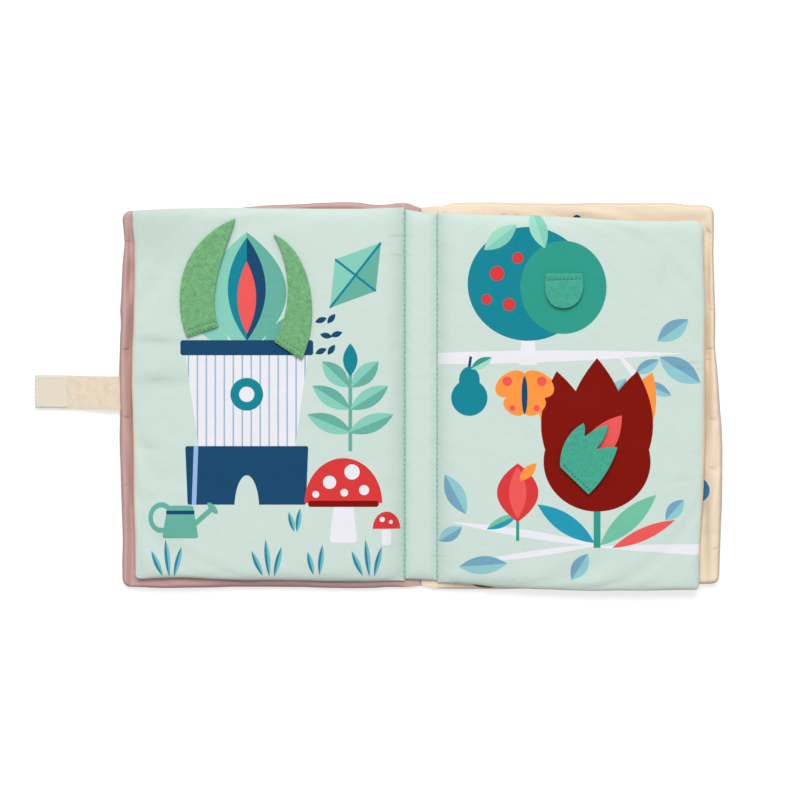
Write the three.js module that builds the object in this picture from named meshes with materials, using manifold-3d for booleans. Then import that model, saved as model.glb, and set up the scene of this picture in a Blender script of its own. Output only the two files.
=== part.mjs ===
// Crinkle cloth book for a baby, lying open at its middle spread.
// Millimetres, +Z up, +Y to the head of the book, +X to the reader's right.
// The origin is the middle of the spine, on the surface that the book lies on.
//
// Two padded sheets are stitched together along two lines beside the spine. The lower sheet is the
// cover and the upper one the pages, so four leaves lie open: a page on a cover, left and right.

import * as THREE from 'three';
import { mergeVertices } from 'three/addons/utils/BufferGeometryUtils.js';
import Module from 'manifold-3d';

const wasm = await Module();
wasm.setup();

// Driving dimensions of the cloth
const CLOTH = 0.6;                 // one face of a leaf, hems and glue included
const GAP = 0.3;                   // room kept between neighbouring pieces
const LIP = CLOTH + GAP / 2;       // half the thickness of a sewn edge
const EDGE_ROLL = 8;               // how far in a sewn edge takes to reach full thickness
const FILM = 0.3;                  // crinkle film

// Driving dimensions of the spine
const SEAM_X = 9.4;                // stitch lines, each side of the spine's middle
const SEAM_CHANNEL = 0.6;          // cloth starts this far from the middle of its stitch line
const THREAD_RADIUS = 0.3;
const THREAD_END = 2;              // the stitching stops this far from head and tail
const STRIP_CROWN = 2.4;           // the page sheet's padded strip between the stitch lines
const BASE_HALF = 5;               // flat part of the spine's underside
const COVER_HEAD = 109.6;          // the cover sheet's ends between the stitch lines
const COVER_TAIL = -110.3;
const SPINE_HEAD = 107.1;          // the page sheet's ends at the middle of the spine
const SPINE_TAIL = -106.7;
const END_SLOPE = { head: 0.15, tail: 0.05, coverHead: 0.19 };  // how those ends slant, mm a mm

// Heights of the two kinds of leaf: at the stitch line and where the leaf is full
const COVER = { seamBottom: 0.9, bottom: 0, seamTop: 2.4, top: 6, bottomRise: 8, topRise: 10 };
const PAGE = { seamBottom: 2.75, bottom: 6.35, seamTop: 4.25, top: 11, bottomRise: 10, topRise: 14 };
const GUTTER = 9.2;                // the strip of a page that stays down beside its stitch line
const PAGE_START = GUTTER + GAP;   // where the part of the page that turns over begins

// The felt flaps lie on the pages
const FELT = 2;
const FELT_BOTTOM = PAGE.top + GAP;

// The closure tape and its hook-and-loop patches
const TAPE = { width: 19, thickness: 1.2, y: 2, hinge: -176, fold: -201.4, end: -224.6, lift: 0.1 };
const SEWN_IN = 8.6;               // how much of the tape lies inside the cover
const PATCH = 1.2;
const PADDING_MARGIN = 1;          // the filling stops this far before a leaf grows thin
const FILM_LIFT = 2.1;             // crinkle film above the underside of a cover
const LOOP_PATCH = { inner: 139.4, outer: 157, half: 12, thickness: 0.9, recess: 1.2 };

// Cloth and felt colours, as sRGB
const MINT = 0xcde1d8;
const MAUVE = 0xc09893;
const CREAM = 0xeed6b8;
const TAPE_COTTON = 0xe7dbc7;
const OUTSIDE = 0xe9dcc6;
const FELT_LEAF = 0x74b57d;
const FELT_EMERALD = 0x3ea07d;
const FILM_CLEAR = 0xe4eaee;
const WADDING = 0xf6f5f1;
const THREAD = 0xb4cdbf;
const HOOK_TAPE = 0xefe7d6;

// How far a soft leaf has risen at a distance from its stitch line: 0 there, 1 where it is full
function rise(distance, width) {
  return 1 - (1 - Math.min(distance, width) / width) ** 2;
}

// The round of a sewn edge: 0 on the edge, 1 at the given width and beyond
function roll(distance, width = EDGE_ROLL) {
  return Math.sqrt(1 - (1 - Math.min(distance, width) / width) ** 2);
}

function smooth(value) {
  const t = THREE.MathUtils.clamp(value, 0, 1);
  return t * t * (3 - 2 * t);
}

// A soft line through points, each given as [place, value], in order of place
function through(points) {
  return (place) => {
    const after = points.findIndex(([at]) => at > place);
    if (after === 0) return points[0][1];
    if (after < 0) return points[points.length - 1][1];
    const [fromPlace, fromValue] = points[after - 1];
    const [toPlace, toValue] = points[after];
    return fromValue + (toValue - fromValue) * smooth((place - fromPlace) / (toPlace - fromPlace));
  };
}

// Places from one end of a span to the other: close together near both ends, even between
function ladder(from, to, near, far, middleSteps) {
  const start = near.map((step) => from + step);
  const finish = far.map((step) => to - step).reverse();
  const first = start[start.length - 1];
  const stride = (finish[0] - first) / middleSteps;
  const middle = Array.from({ length: middleSteps - 1 }, (unused, index) => first + stride * (index + 1));
  return [...start, ...middle, ...finish];
}

// Height of the main wrinkles at a point: soft ridges and valleys along straight lines
function wrinkleHeight(wrinkles, x, y) {
  let height = 0;
  for (const { from, to, size, width } of wrinkles) {
    const along = new THREE.Vector2(to[0] - from[0], to[1] - from[1]);
    const offset = new THREE.Vector2(x - from[0], y - from[1]);
    const share = offset.dot(along) / along.lengthSq();
    const across = Math.abs(offset.cross(along)) / along.length();
    const ends = smooth(share * 4) * smooth((1 - share) * 4);
    height += size * ends * Math.exp(-((across / width) ** 2));
  }
  return height;
}

// The plan of a leaf as rows of points from its stitch line out to its fore-edge. Each point knows
// how far it is from the stitch line, the fore-edge and the nearer of head and tail.
function leafPlan(leaf, steps) {
  const places = ladder(leaf.start, leaf.width, steps.nearSeam, steps.edge, steps.across);
  const heights = steps.along ?? ladder(leaf.tail(0), leaf.head(0), steps.edge, steps.edge, steps.up);
  const low = heights[0];
  const high = heights[heights.length - 1];
  return places.map((place) => {
    const fromFore = leaf.width - place;
    const reach = Math.min(fromFore, leaf.corner);
    const cut = leaf.corner - Math.sqrt(leaf.corner ** 2 - (leaf.corner - reach) ** 2);
    const tail = leaf.tail(place) + cut;
    const head = leaf.head(place) - cut;
    return heights.map((height) => {
      const share = (height - low) / (high - low);
      const y = height + (tail - low) * (1 - smooth(share * 4)) + (head - high) * smooth(share * 4 - 3);
      const steady = leaf.steady ?? leaf.start;
      const stretch = (leaf.fore(y) - leaf.width) * smooth((place - steady) / (leaf.width - steady));
      return {
        x: leaf.side * (place + stretch),
        y,
        fromSeam: place,
        fromFore,
        height,
        fromEnd: Math.min(height - low, high - height),
      };
    });
  });
}

// One closed piece of cloth between an upper and a lower height over the same plan
function clothBetween(plan, side, upper, lower) {
  const rows = plan.length;
  const columns = plan[0].length;
  const positions = [];
  for (const height of [upper, lower]) {
    for (const row of plan) {
      for (const point of row) positions.push(point.x, point.y, height(point));
    }
  }
  const under = rows * columns;
  const at = (row, column, layer) => layer * under + row * columns + column;
  const index = [];
  const quad = (a, b, c, d) => {
    if (side > 0) index.push(a, b, c, a, c, d);
    else index.push(a, c, b, a, d, c);
  };
  for (let r = 0; r < rows - 1; r += 1) {
    for (let c = 0; c < columns - 1; c += 1) {
      quad(at(r, c, 0), at(r + 1, c, 0), at(r + 1, c + 1, 0), at(r, c + 1, 0));
      quad(at(r, c, 1), at(r, c + 1, 1), at(r + 1, c + 1, 1), at(r + 1, c, 1));
    }
    quad(at(r, 0, 0), at(r, 0, 1), at(r + 1, 0, 1), at(r + 1, 0, 0));
    quad(at(r, columns - 1, 0), at(r + 1, columns - 1, 0), at(r + 1, columns - 1, 1), at(r, columns - 1, 1));
  }
  for (let c = 0; c < columns - 1; c += 1) {
    quad(at(0, c, 0), at(0, c + 1, 0), at(0, c + 1, 1), at(0, c, 1));
    quad(at(rows - 1, c, 0), at(rows - 1, c, 1), at(rows - 1, c + 1, 1), at(rows - 1, c + 1, 0));
  }
  const geometry = new THREE.BufferGeometry();
  geometry.setAttribute('position', new THREE.Float32BufferAttribute(positions, 3));
  geometry.setIndex(index);
  return geometry;
}

// Upper and lower surface of a padded leaf: thin at the stitch line, full in the middle, and rolled
// down to a sewn edge at half height all round
function leafSurfaces(kind, { wrinkles = [], lip = () => LIP, recess = () => 0, offset = 0 } = {}) {
  const levels = (point) => {
    const top = kind.seamTop + (kind.top - kind.seamTop) * rise(point.fromSeam, kind.topRise);
    const bottom = kind.seamBottom + (kind.bottom - kind.seamBottom) * rise(point.fromSeam, kind.bottomRise);
    return { top, bottom, middle: (top + bottom) / 2 };
  };
  const fullness = (point) => roll(point.fromFore) * roll(point.fromEnd);
  return {
    upper(point) {
      const { top, middle } = levels(point);
      const edge = middle + lip(point);
      const body = Math.max(top - edge, 0);
      const fold = wrinkleHeight(wrinkles, point.x + offset, point.y) * rise(point.fromSeam, kind.topRise);
      return edge + (body + fold) * fullness(point);
    },
    lower(point) {
      const { bottom, middle } = levels(point);
      const edge = middle - lip(point);
      const body = Math.max(edge - bottom, 0);
      return edge - body * fullness(point) + recess(point);
    },
  };
}

// A flat sheet with round corners, for what is sewn up inside a leaf or laid on it
function flatSheet(lowX, lowY, highX, highY, corner, bottom, thickness) {
  const shape = new THREE.Shape();
  shape.moveTo(lowX + corner, lowY);
  shape.lineTo(highX - corner, lowY);
  shape.absarc(highX - corner, lowY + corner, corner, -Math.PI / 2, 0);
  shape.lineTo(highX, highY - corner);
  shape.absarc(highX - corner, highY - corner, corner, 0, Math.PI / 2);
  shape.lineTo(lowX + corner, highY);
  shape.absarc(lowX + corner, highY - corner, corner, Math.PI / 2, Math.PI);
  shape.lineTo(lowX, lowY + corner);
  shape.absarc(lowX + corner, lowY + corner, corner, Math.PI, Math.PI * 1.5);
  const form = { depth: thickness, bevelEnabled: false, curveSegments: 3 };
  return new THREE.ExtrudeGeometry(shape, form).translate(0, 0, bottom);
}

function finish(color, roughness) {
  return new THREE.MeshStandardMaterial({ color, roughness, metalness: 0 });
}

function addPiece(group, name, geometry, color, roughness = 0.85) {
  const piece = new THREE.Mesh(geometry, finish(color, roughness));
  piece.name = name;
  group.add(piece);
  return piece;
}

// Rows of points of the grids, as distances in from an edge
const FINE_EDGE = [0, 1.2, 3, 5.5, EDGE_ROLL];
const PLAIN_EDGE = [0, 2.5, EDGE_ROLL];
const NEAR_SEAM = [0, 2.4, 5.4, 9.4];

// A padded leaf: two faces of cloth with crinkle film and wadding sewn up between them
const PADDING_ROOM = 0.8;
const FILM_CORNER = 5;
const PADDING_CORNER = 7;
function addLeaf(group, names, leaf, kind, colors, grids, surfaceOptions) {
  const surfaces = leafSurfaces(kind, surfaceOptions);
  const upperPlan = leafPlan(leaf, grids.upper);
  const lowerPlan = leafPlan(leaf, grids.lower);
  const upperInside = (point) => surfaces.upper(point) - CLOTH;
  const lowerInside = (point) => surfaces.lower(point) + CLOTH;
  addPiece(group, names.upper, clothBetween(upperPlan, leaf.side, surfaces.upper, upperInside), colors.upper);
  addPiece(group, names.lower, clothBetween(lowerPlan, leaf.side, lowerInside, surfaces.lower), colors.lower);

  const inset = EDGE_ROLL + PADDING_MARGIN;
  const start = Math.max(leaf.start + PADDING_MARGIN, kind.topRise);
  const near = leaf.side * start;
  const far = leaf.side * (leaf.innerWidth - inset);
  const tail = Math.max(leaf.tail(start), leaf.tail(leaf.width)) + inset;
  const head = Math.min(leaf.head(start), leaf.head(leaf.width)) - inset;
  const [lowX, highX] = [Math.min(near, far), Math.max(near, far)];
  const filmBottom = kind.bottom + grids.filmLift;
  const paddingBottom = filmBottom + FILM + GAP;
  const paddingTop = kind.top - CLOTH - PADDING_ROOM;
  const film = flatSheet(lowX, tail, highX, head, FILM_CORNER, filmBottom, FILM);
  addPiece(group, names.film, film, FILM_CLEAR, 0.2);
  const paddingDepth = paddingTop - paddingBottom;
  const padding = flatSheet(lowX, tail, highX, head, PADDING_CORNER, paddingBottom, paddingDepth);
  addPiece(group, names.padding, padding, WADDING, 0.95);
}

// The strip of a page beside its stitch line. It is sewn down, so it stays on the cover when the
// page turns, and the page bends up out of it.
function addGutter(group, names, leaf, kind, colors) {
  const surfaces = leafSurfaces(kind);
  const strip = { ...leaf, start: SEAM_CHANNEL };
  const keep = [SEAM_CHANNEL, 3, 6, GUTTER];
  const steps = { nearSeam: NEAR_SEAM, edge: FINE_EDGE, across: 2, up: 3 };
  const plan = leafPlan(strip, steps).slice(0, keep.length);
  plan.forEach((row, index) => {
    for (const point of row) {
      point.x = leaf.side * keep[index];
      point.fromSeam = keep[index];
    }
  });
  const upperInside = (point) => surfaces.upper(point) - CLOTH;
  const lowerInside = (point) => surfaces.lower(point) + CLOTH;
  addPiece(group, names.upper, clothBetween(plan, leaf.side, surfaces.upper, upperInside), colors.upper);
  addPiece(group, names.lower, clothBetween(plan, leaf.side, lowerInside, surfaces.lower), colors.lower);
}

// Outlines of the four leaves, measured from their stitch lines: the head and the tail go by the
// distance from the stitch line, the fore-edge by the height on the page. The edges run in and out,
// the right-hand page lies a little askew, and the back cover bulges below a crease.
const frontCover = {
  side: -1,
  start: SEAM_CHANNEL,
  width: 165,
  innerWidth: 163,
  corner: 4.6,
  head: through([[0, 111.4], [10, 110.2], [19, 110.2], [36, 112.4], [49, 112.4], [62, 111.6],
    [81, 111.2], [100, 109], [130, 108.4], [165, 108.2]]),
  tail: through([[0, -110.1], [9, -110], [32, -111.1], [45, -111], [61, -110.5], [96, -110.8],
    [119, -111.8], [140, -112.2], [160, -111.6]]),
  fore: through([[-98, 165], [-83, 164.4], [-46, 164.8], [-25, 165.2], [-9, 164.6], [0, 165.2],
    [14, 165.4], [33, 165], [43, 164.4], [50, 165.2], [76, 164.4], [90, 163.3], [103, 165]]),
};
const leftPage = {
  side: -1,
  start: PAGE_START,
  width: 157.6,
  innerWidth: 157,
  corner: 3,
  head: through([[0, 108.6], [10, 108.9], [26, 108.2], [61, 108.4], [98, 109.4], [130, 109.4], [157, 108.4]]),
  tail: through([[0, -106.3], [20, -107], [43, -106.9], [61, -106.3], [80, -106.1], [95, -106.8],
    [108, -106.7], [130, -105.9], [157, -106.8]]),
  fore: through([[-60, 157], [-30, 156.8], [-11, 157.2], [6, 158], [26, 157.8], [40, 157],
    [73, 157.2], [90, 157.6], [99, 158.7]]),
};
const backCover = {
  side: 1,
  start: SEAM_CHANNEL,
  width: 163.2,
  innerWidth: 161,
  corner: 4.6,
  head: through([[0, 109.6], [4, 109.7], [10, 111.5], [30, 111.9], [65, 111.4], [80, 111.6],
    [122, 112.9], [141, 112.6], [147, 111.4], [160, 111.3]]),
  tail: through([[0, -111], [36, -111.5], [100, -111], [150, -109.8]]),
  fore: through([[-104, 164.9], [-78, 165.3], [-57, 165.8], [-32, 165.8], [-14, 164.6], [0, 163.2],
    [18, 161.7], [30, 160.4], [50, 161], [80, 160.9], [105, 161.7]]),
  steady: 157.9,
};
const rightPage = {
  side: 1,
  start: PAGE_START,
  width: 154.6,
  innerWidth: 151,
  corner: 3.6,
  head: through([[0, 105.7], [15, 105.5], [36, 104.7], [65, 104.1], [83, 103.2], [103, 102.5], [150, 102.4]]),
  tail: through([[0, -107.2], [8, -107.9], [19, -108.7], [36, -110.5], [60, -111.8], [92, -113.2]]),
  fore: through([[-110, 152.4], [-89, 152.7], [-49, 153.8], [-25, 154.4], [26, 154.4], [40, 154.8]]),
};

// Main wrinkles of the faces that show, in the book's own coordinates
const leftWrinkles = [
  { from: [-172, -40], to: [-92, -62], size: -0.45, width: 7 },
  { from: [-58, 104], to: [-30, 40], size: 0.4, width: 8 },
  { from: [-30, 30], to: [-14, -80], size: -0.4, width: 5 },
  { from: [-120, -104], to: [-40, -72], size: 0.45, width: 9 },
  { from: [-170, 20], to: [-138, 8], size: 0.4, width: 6 },
];
const rightWrinkles = [
  { from: [12, 84], to: [70, 100], size: 0.4, width: 7 },
  { from: [14, 20], to: [150, -2], size: -0.4, width: 9 },
  { from: [16, -30], to: [60, -98], size: 0.45, width: 8 },
  { from: [112, -60], to: [162, -100], size: 0.4, width: 8 },
  { from: [106, 94], to: [160, 44], size: -0.35, width: 8 },
];

const book = new THREE.Group();
const spine = new THREE.Group();
book.add(spine);

// The spine: both sheets run on between the stitch lines as narrow strips, one on the other
const stripHalf = SEAM_X - SEAM_CHANNEL;
const crown = (x) => 1 - (x / stripHalf) ** 2;
const STRIP_STEPS = 6;
const STRIP_ROWS = 3;
const spineHead = (x) => SPINE_HEAD - END_SLOPE.head * x;
const spineTail = (x) => SPINE_TAIL - END_SLOPE.tail * x;
const coverHead = (x) => COVER_HEAD + END_SLOPE.coverHead * Math.max(0, -x);
const coverTail = () => COVER_TAIL;

function spinePlan(low, high, tail, head) {
  const stride = (high - low) / STRIP_STEPS;
  const places = Array.from({ length: STRIP_STEPS + 1 }, (unused, index) => low + stride * index);
  return places.map((x) => {
    const heights = ladder(tail(x), head(x), PLAIN_EDGE, PLAIN_EDGE, STRIP_ROWS);
    return heights.map((y) => ({ x, y, fromEnd: Math.min(y - tail(x), head(x) - y) }));
  });
}

function addSpineStrip(name, [low, high], [tail, head], color, seamBottom, crownHeight) {
  const bottom = (point) => seamBottom + crownHeight * crown(point.x) * roll(point.fromEnd);
  const top = (point) => bottom(point) + CLOTH;
  addPiece(spine, name, clothBetween(spinePlan(low, high, tail, head), 1, top, bottom), color);
}

function addSpineBase() {
  const rim = stripHalf - BASE_HALF;
  const bottom = (point) => (COVER.seamBottom * Math.max(0, Math.abs(point.x) - BASE_HALF)) / rim;
  const top = (point) => bottom(point) + CLOTH;
  const heights = ladder(COVER_TAIL, COVER_HEAD, PLAIN_EDGE, PLAIN_EDGE, STRIP_ROWS);
  const places = [-stripHalf, -BASE_HALF, 0, BASE_HALF, stripHalf];
  const plan = places.map((x) => heights.map((y) => ({ x, y })));
  addPiece(spine, 'spine_outer_cloth', clothBetween(plan, 1, top, bottom), OUTSIDE);
}

const wholeStrip = [-stripHalf, stripHalf];
const coverEnds = [coverTail, coverHead];
const pageEnds = [spineTail, spineHead];
const liningSeam = COVER.seamTop - CLOTH;
addSpineBase();
addSpineStrip('spine_lining_mauve', [-stripHalf, -GAP / 2], coverEnds, MAUVE, liningSeam, 0);
addSpineStrip('spine_lining_cream', [GAP / 2, stripHalf], coverEnds, CREAM, liningSeam, 0);
addSpineStrip('page_spine_underside', wholeStrip, pageEnds, CREAM, PAGE.seamBottom, 0);
addSpineStrip('page_spine_mint', wholeStrip, pageEnds, MINT, PAGE.seamTop - CLOTH, STRIP_CROWN);

// Wadding in the two strips, flat strips with round ends that stop short of head and tail
const STRIP_PADDING = { half: BASE_HALF - GAP, fromEnd: 9, corner: 2, thickness: 0.5, pageThickness: 1.2 };
function addStripPadding(name, tail, head, bottom, thickness) {
  const { half: reach, fromEnd, corner } = STRIP_PADDING;
  const strip = flatSheet(-reach, tail + fromEnd, reach, head - fromEnd, corner, bottom, thickness);
  addPiece(spine, name, strip, WADDING, 0.95);
}

const pagePaddingBottom = PAGE.seamBottom + CLOTH + GAP;
addStripPadding('spine_padding', COVER_TAIL, COVER_HEAD, CLOTH + GAP, STRIP_PADDING.thickness);
addStripPadding('page_spine_padding', SPINE_TAIL, SPINE_HEAD, pagePaddingBottom, STRIP_PADDING.pageThickness);

// The stitching runs through both sheets, in the channel between strip and leaf
for (const [name, side] of [['seam_thread_left', -1], ['seam_thread_right', 1]]) {
  const head = spineHead(side * stripHalf) - THREAD_END;
  const tail = spineTail(side * stripHalf) + THREAD_END;
  const thread = new THREE.CylinderGeometry(THREAD_RADIUS, THREAD_RADIUS, head - tail, 6, 1);
  const piece = addPiece(spine, name, thread, THREAD, 0.6);
  piece.position.set(side * SEAM_X, (head + tail) / 2, PAGE.seamTop - THREAD_RADIUS);
}

// Grids: faces that show are finer than undersides, which other leaves or the table hide
const fineGrid = { nearSeam: [0, 3, 6.5], edge: FINE_EDGE, across: 6, up: 9 };
const plainGrid = { nearSeam: [0, 6.5], edge: PLAIN_EDGE, across: 2, up: 3 };
const rimGrid = { nearSeam: NEAR_SEAM, edge: FINE_EDGE, across: 4, up: 9 };
const coverUnderGrid = { nearSeam: [0, 3.4, 7.4], edge: PLAIN_EDGE, across: 2, up: 3 };

// The front cover's fore-edge opens a little where the closure tape is sewn in
const tapeHalf = TAPE.width / 2;
const frontHeights = [
  ...FINE_EDGE.map((step) => frontCover.tail(0) + step),
  -83,
  -50,
  -24,
  TAPE.y - tapeHalf - 5,
  TAPE.y - tapeHalf - 0.6,
  TAPE.y + tapeHalf + 0.6,
  TAPE.y + tapeHalf + 5,
  33,
  50,
  70,
  90,
  ...FINE_EDGE.map((step) => frontCover.head(0) - step).reverse(),
];
const tapeLip = (point) => {
  const beside = Math.abs(point.y - TAPE.y) - tapeHalf - 0.6;
  const opening = (TAPE.thickness + GAP) / 2;
  return LIP + opening * (1 - smooth(beside / 4.4)) * (1 - smooth(point.fromFore / EDGE_ROLL));
};

const frontCoverGroup = new THREE.Group();
frontCoverGroup.position.x = -SEAM_X;
book.add(frontCoverGroup);
addLeaf(
  frontCoverGroup,
  {
    upper: 'front_cover_inside_mauve',
    lower: 'front_cover_outside',
    film: 'front_cover_crinkle_film',
    padding: 'front_cover_padding',
  },
  frontCover,
  COVER,
  { upper: MAUVE, lower: OUTSIDE },
  {
    upper: { ...rimGrid, along: frontHeights },
    lower: { ...coverUnderGrid, edge: FINE_EDGE, along: frontHeights },
    filmLift: FILM_LIFT,
  },
  { lip: tapeLip },
);

// The back cover's outside is pressed in round the loop patch that the tape fastens to. The grid
// has lines just outside the patch and where the pressed place ends.
const RECESS_LINES = [1.5, 0.3];
const loopHeights = [
  ...PLAIN_EDGE.map((step) => backCover.tail(0) + step),
  ...RECESS_LINES.map((step) => TAPE.y - LOOP_PATCH.half - step),
  ...RECESS_LINES.map((step) => TAPE.y + LOOP_PATCH.half + step).reverse(),
  ...PLAIN_EDGE.map((step) => backCover.head(0) - step).reverse(),
];
const loopGrid = {
  nearSeam: [0, 3.4, 7.4, ...RECESS_LINES.map((step) => LOOP_PATCH.inner - step - SEAM_CHANNEL)],
  edge: [0, 2.2, ...RECESS_LINES.map((step) => backCover.width - LOOP_PATCH.outer - step)],
  across: 1,
  along: loopHeights,
};
const loopRecess = (point) => {
  const half = (LOOP_PATCH.outer - LOOP_PATCH.inner) / 2;
  const beside = Math.abs(point.fromSeam - LOOP_PATCH.inner - half) - half;
  const beyond = Math.abs(point.height - TAPE.y) - LOOP_PATCH.half;
  const [outer, inner] = RECESS_LINES;
  return LOOP_PATCH.recess * (1 - THREE.MathUtils.smoothstep(Math.max(beside, beyond), inner, outer));
};

const backCoverGroup = new THREE.Group();
backCoverGroup.position.x = SEAM_X;
book.add(backCoverGroup);
addLeaf(
  backCoverGroup,
  {
    upper: 'back_cover_inside_cream',
    lower: 'back_cover_outside',
    film: 'back_cover_crinkle_film',
    padding: 'back_cover_padding',
  },
  backCover,
  COVER,
  { upper: CREAM, lower: OUTSIDE },
  {
    upper: rimGrid,
    lower: loopGrid,
    filmLift: FILM_LIFT,
  },
  { recess: loopRecess },
);
const loopPatch = flatSheet(
  LOOP_PATCH.inner,
  TAPE.y - LOOP_PATCH.half,
  LOOP_PATCH.outer,
  TAPE.y + LOOP_PATCH.half,
  1.5,
  0,
  LOOP_PATCH.thickness,
);
addPiece(backCoverGroup, 'loop_patch', loopPatch, TAPE_COTTON, 0.95);

// Page leaves, each with the strip that stays down in its gutter
addGutter(
  frontCoverGroup,
  { upper: 'left_gutter_mint', lower: 'left_gutter_underside' },
  leftPage,
  PAGE,
  { upper: MINT, lower: CREAM },
);
addGutter(
  backCoverGroup,
  { upper: 'right_gutter_mint', lower: 'right_gutter_underside' },
  rightPage,
  PAGE,
  { upper: MINT, lower: CREAM },
);

const pageGrids = { upper: fineGrid, lower: plainGrid, filmLift: CLOTH + GAP };
const pages = [
  { name: 'left_page', leaf: leftPage, wrinkles: leftWrinkles },
  { name: 'right_page', leaf: rightPage, wrinkles: rightWrinkles },
];
for (const { name, leaf, wrinkles } of pages) {
  const group = new THREE.Group();
  group.position.x = leaf.side * SEAM_X;
  book.add(group);
  addLeaf(
    group,
    {
      upper: `${name}_mint`,
      lower: `${name}_underside`,
      film: `${name}_crinkle_film`,
      padding: `${name}_padding`,
    },
    leaf,
    PAGE,
    { upper: MINT, lower: CREAM },
    pageGrids,
    { wrinkles, offset: leaf.side * SEAM_X },
  );
}

// Felt flaps. Each is one cut piece of felt, sewn to its page along one edge. The sewn end stays
// down, and the rest lifts about the line beside the stitches.
function solidOf(geometry) {
  const bare = geometry.clone();
  bare.deleteAttribute('normal');
  bare.deleteAttribute('uv');
  const merged = mergeVertices(bare, 1e-4);
  return new wasm.Manifold(new wasm.Mesh({
    numProp: 3,
    vertProperties: new Float32Array(merged.attributes.position.array),
    triVerts: new Uint32Array(merged.index.array),
  }));
}

function geometryOf(solid) {
  const mesh = solid.getMesh();
  const geometry = new THREE.BufferGeometry();
  geometry.setAttribute('position', new THREE.BufferAttribute(mesh.vertProperties, 3));
  geometry.setIndex(new THREE.BufferAttribute(mesh.triVerts, 1));
  return geometry;
}

// Flaps are drawn from the middle of their sewn edge, with the felt above it in +Y. The two long
// leaves have a slanting sewn edge, and both bend over to the same side as its higher end.
function outerLeafOutline() {
  const shape = new THREE.Shape();
  shape.moveTo(-9.3, -3.3);
  shape.bezierCurveTo(-18, 20, -15, 52, 19, 66);
  shape.bezierCurveTo(15, 50, 1, 24, 9.2, 3.2);
  shape.closePath();
  return shape;
}

function innerLeafOutline() {
  const shape = new THREE.Shape();
  shape.moveTo(8, -5.2);
  shape.bezierCurveTo(19, 18, 15, 58, -9, 68);
  shape.bezierCurveTo(2, 50, 3, 24, -8, 5.2);
  shape.closePath();
  return shape;
}

function roundOutline() {
  const shape = new THREE.Shape();
  shape.moveTo(-10.3, 0);
  shape.bezierCurveTo(-13.2, 9, -10, 20.3, 0.5, 20.3);
  shape.bezierCurveTo(10.6, 20.3, 12.4, 10, 10.3, 0);
  shape.closePath();
  return shape;
}

function sepalOutline() {
  const shape = new THREE.Shape();
  shape.moveTo(-11.4, 0);
  shape.bezierCurveTo(-18.5, 6, -23, 17, -19.5, 28);
  shape.quadraticCurveTo(-15, 25.5, -13.6, 21.5);
  shape.quadraticCurveTo(-13, 31, -8.5, 37);
  shape.quadraticCurveTo(-3.4, 30, -4, 20.8);
  shape.quadraticCurveTo(-1, 27, 4.4, 31.5);
  shape.bezierCurveTo(9.5, 22, 12, 10, 11.4, 0);
  shape.closePath();
  return shape;
}

const leaves = { turn: 0, color: FELT_LEAF };
const emeralds = { color: FELT_EMERALD };
const flaps = [
  { name: 'felt_leaf_outer', shape: outerLeafOutline(), x: -126.4, y: 37.1, fold: 7.1, ...leaves },
  { name: 'felt_leaf_inner', shape: innerLeafOutline(), x: -77, y: 26.1, fold: 9.4, ...leaves },
  { name: 'felt_round_flap', shape: roundOutline(), x: 82.8, y: 71, turn: 180, fold: 4.4, ...emeralds },
  { name: 'felt_sepal', shape: sepalOutline(), x: 88.8, y: -49.2, turn: -44.1, fold: 3.2, ...emeralds },
];

// Room that is larger than any flap, to cut it at its fold line
const AROUND = { width: 90, below: -10, above: 90, depth: 10 };
for (const { name, shape, x, y, turn, fold, color } of flaps) {
  const felt = new THREE.ExtrudeGeometry(shape, { depth: FELT, bevelEnabled: false, curveSegments: 9 });
  const whole = solidOf(felt);
  const group = new THREE.Group();
  group.position.set(x, y, FELT_BOTTOM);
  group.rotation.z = THREE.MathUtils.degToRad(turn);
  book.add(group);
  const parts = {
    [`${name}_sewn_end`]: [AROUND.below, fold - GAP / 2],
    [name]: [fold + GAP / 2, AROUND.above],
  };
  for (const [part, [low, high]] of Object.entries(parts)) {
    const block = new THREE.BoxGeometry(AROUND.width, high - low, AROUND.depth);
    const cut = solidOf(block.translate(0, (low + high) / 2, 0));
    addPiece(group, part, geometryOf(whole.intersect(cut)), color, 0.95);
  }
}

// Closure tape: sewn into the front cover's fore-edge, it turns once round the closed book's
// fore-edges and once more onto the back cover, where its hook patch meets the loop patch.
function tapeLength(profile) {
  const shape = new THREE.Shape(profile.map(([x, z]) => new THREE.Vector2(x, z)));
  const geometry = new THREE.ExtrudeGeometry(shape, { depth: TAPE.width, bevelEnabled: false });
  return geometry.rotateX(Math.PI / 2).translate(0, TAPE.y + tapeHalf, 0);
}

const half = TAPE.thickness / 2;
const seamHeight = COVER.top / 2;
const foldHeight = half + TAPE.lift;       // the side ends a little above the free end, which lies on the table
const sewnEnd = tapeLength([
  [TAPE.hinge + GAP / 2, seamHeight - half],
  [TAPE.hinge + SEWN_IN, seamHeight - half],
  [TAPE.hinge + SEWN_IN, seamHeight + half],
  [TAPE.hinge + GAP / 2, seamHeight + half],
]);
addPiece(book, 'closure_tape_sewn_end', sewnEnd, TAPE_COTTON, 0.9);
const tapeSide = tapeLength([
  [TAPE.hinge - GAP / 2, seamHeight + half],
  [TAPE.hinge - GAP / 2, seamHeight - half],
  [TAPE.fold + GAP / 2, foldHeight - half],
  [TAPE.fold + GAP / 2, foldHeight + half],
]);
addPiece(book, 'closure_tape_side', tapeSide, TAPE_COTTON, 0.9);
const CORNER = 0.8;
const [tapeLow, tapeHigh] = [TAPE.y - tapeHalf, TAPE.y + tapeHalf];
const tapeEnd = flatSheet(TAPE.end, tapeLow, TAPE.fold - GAP / 2, tapeHigh, CORNER, 0, TAPE.thickness);
addPiece(book, 'closure_tape_end', tapeEnd, TAPE_COTTON, 0.9);
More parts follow.
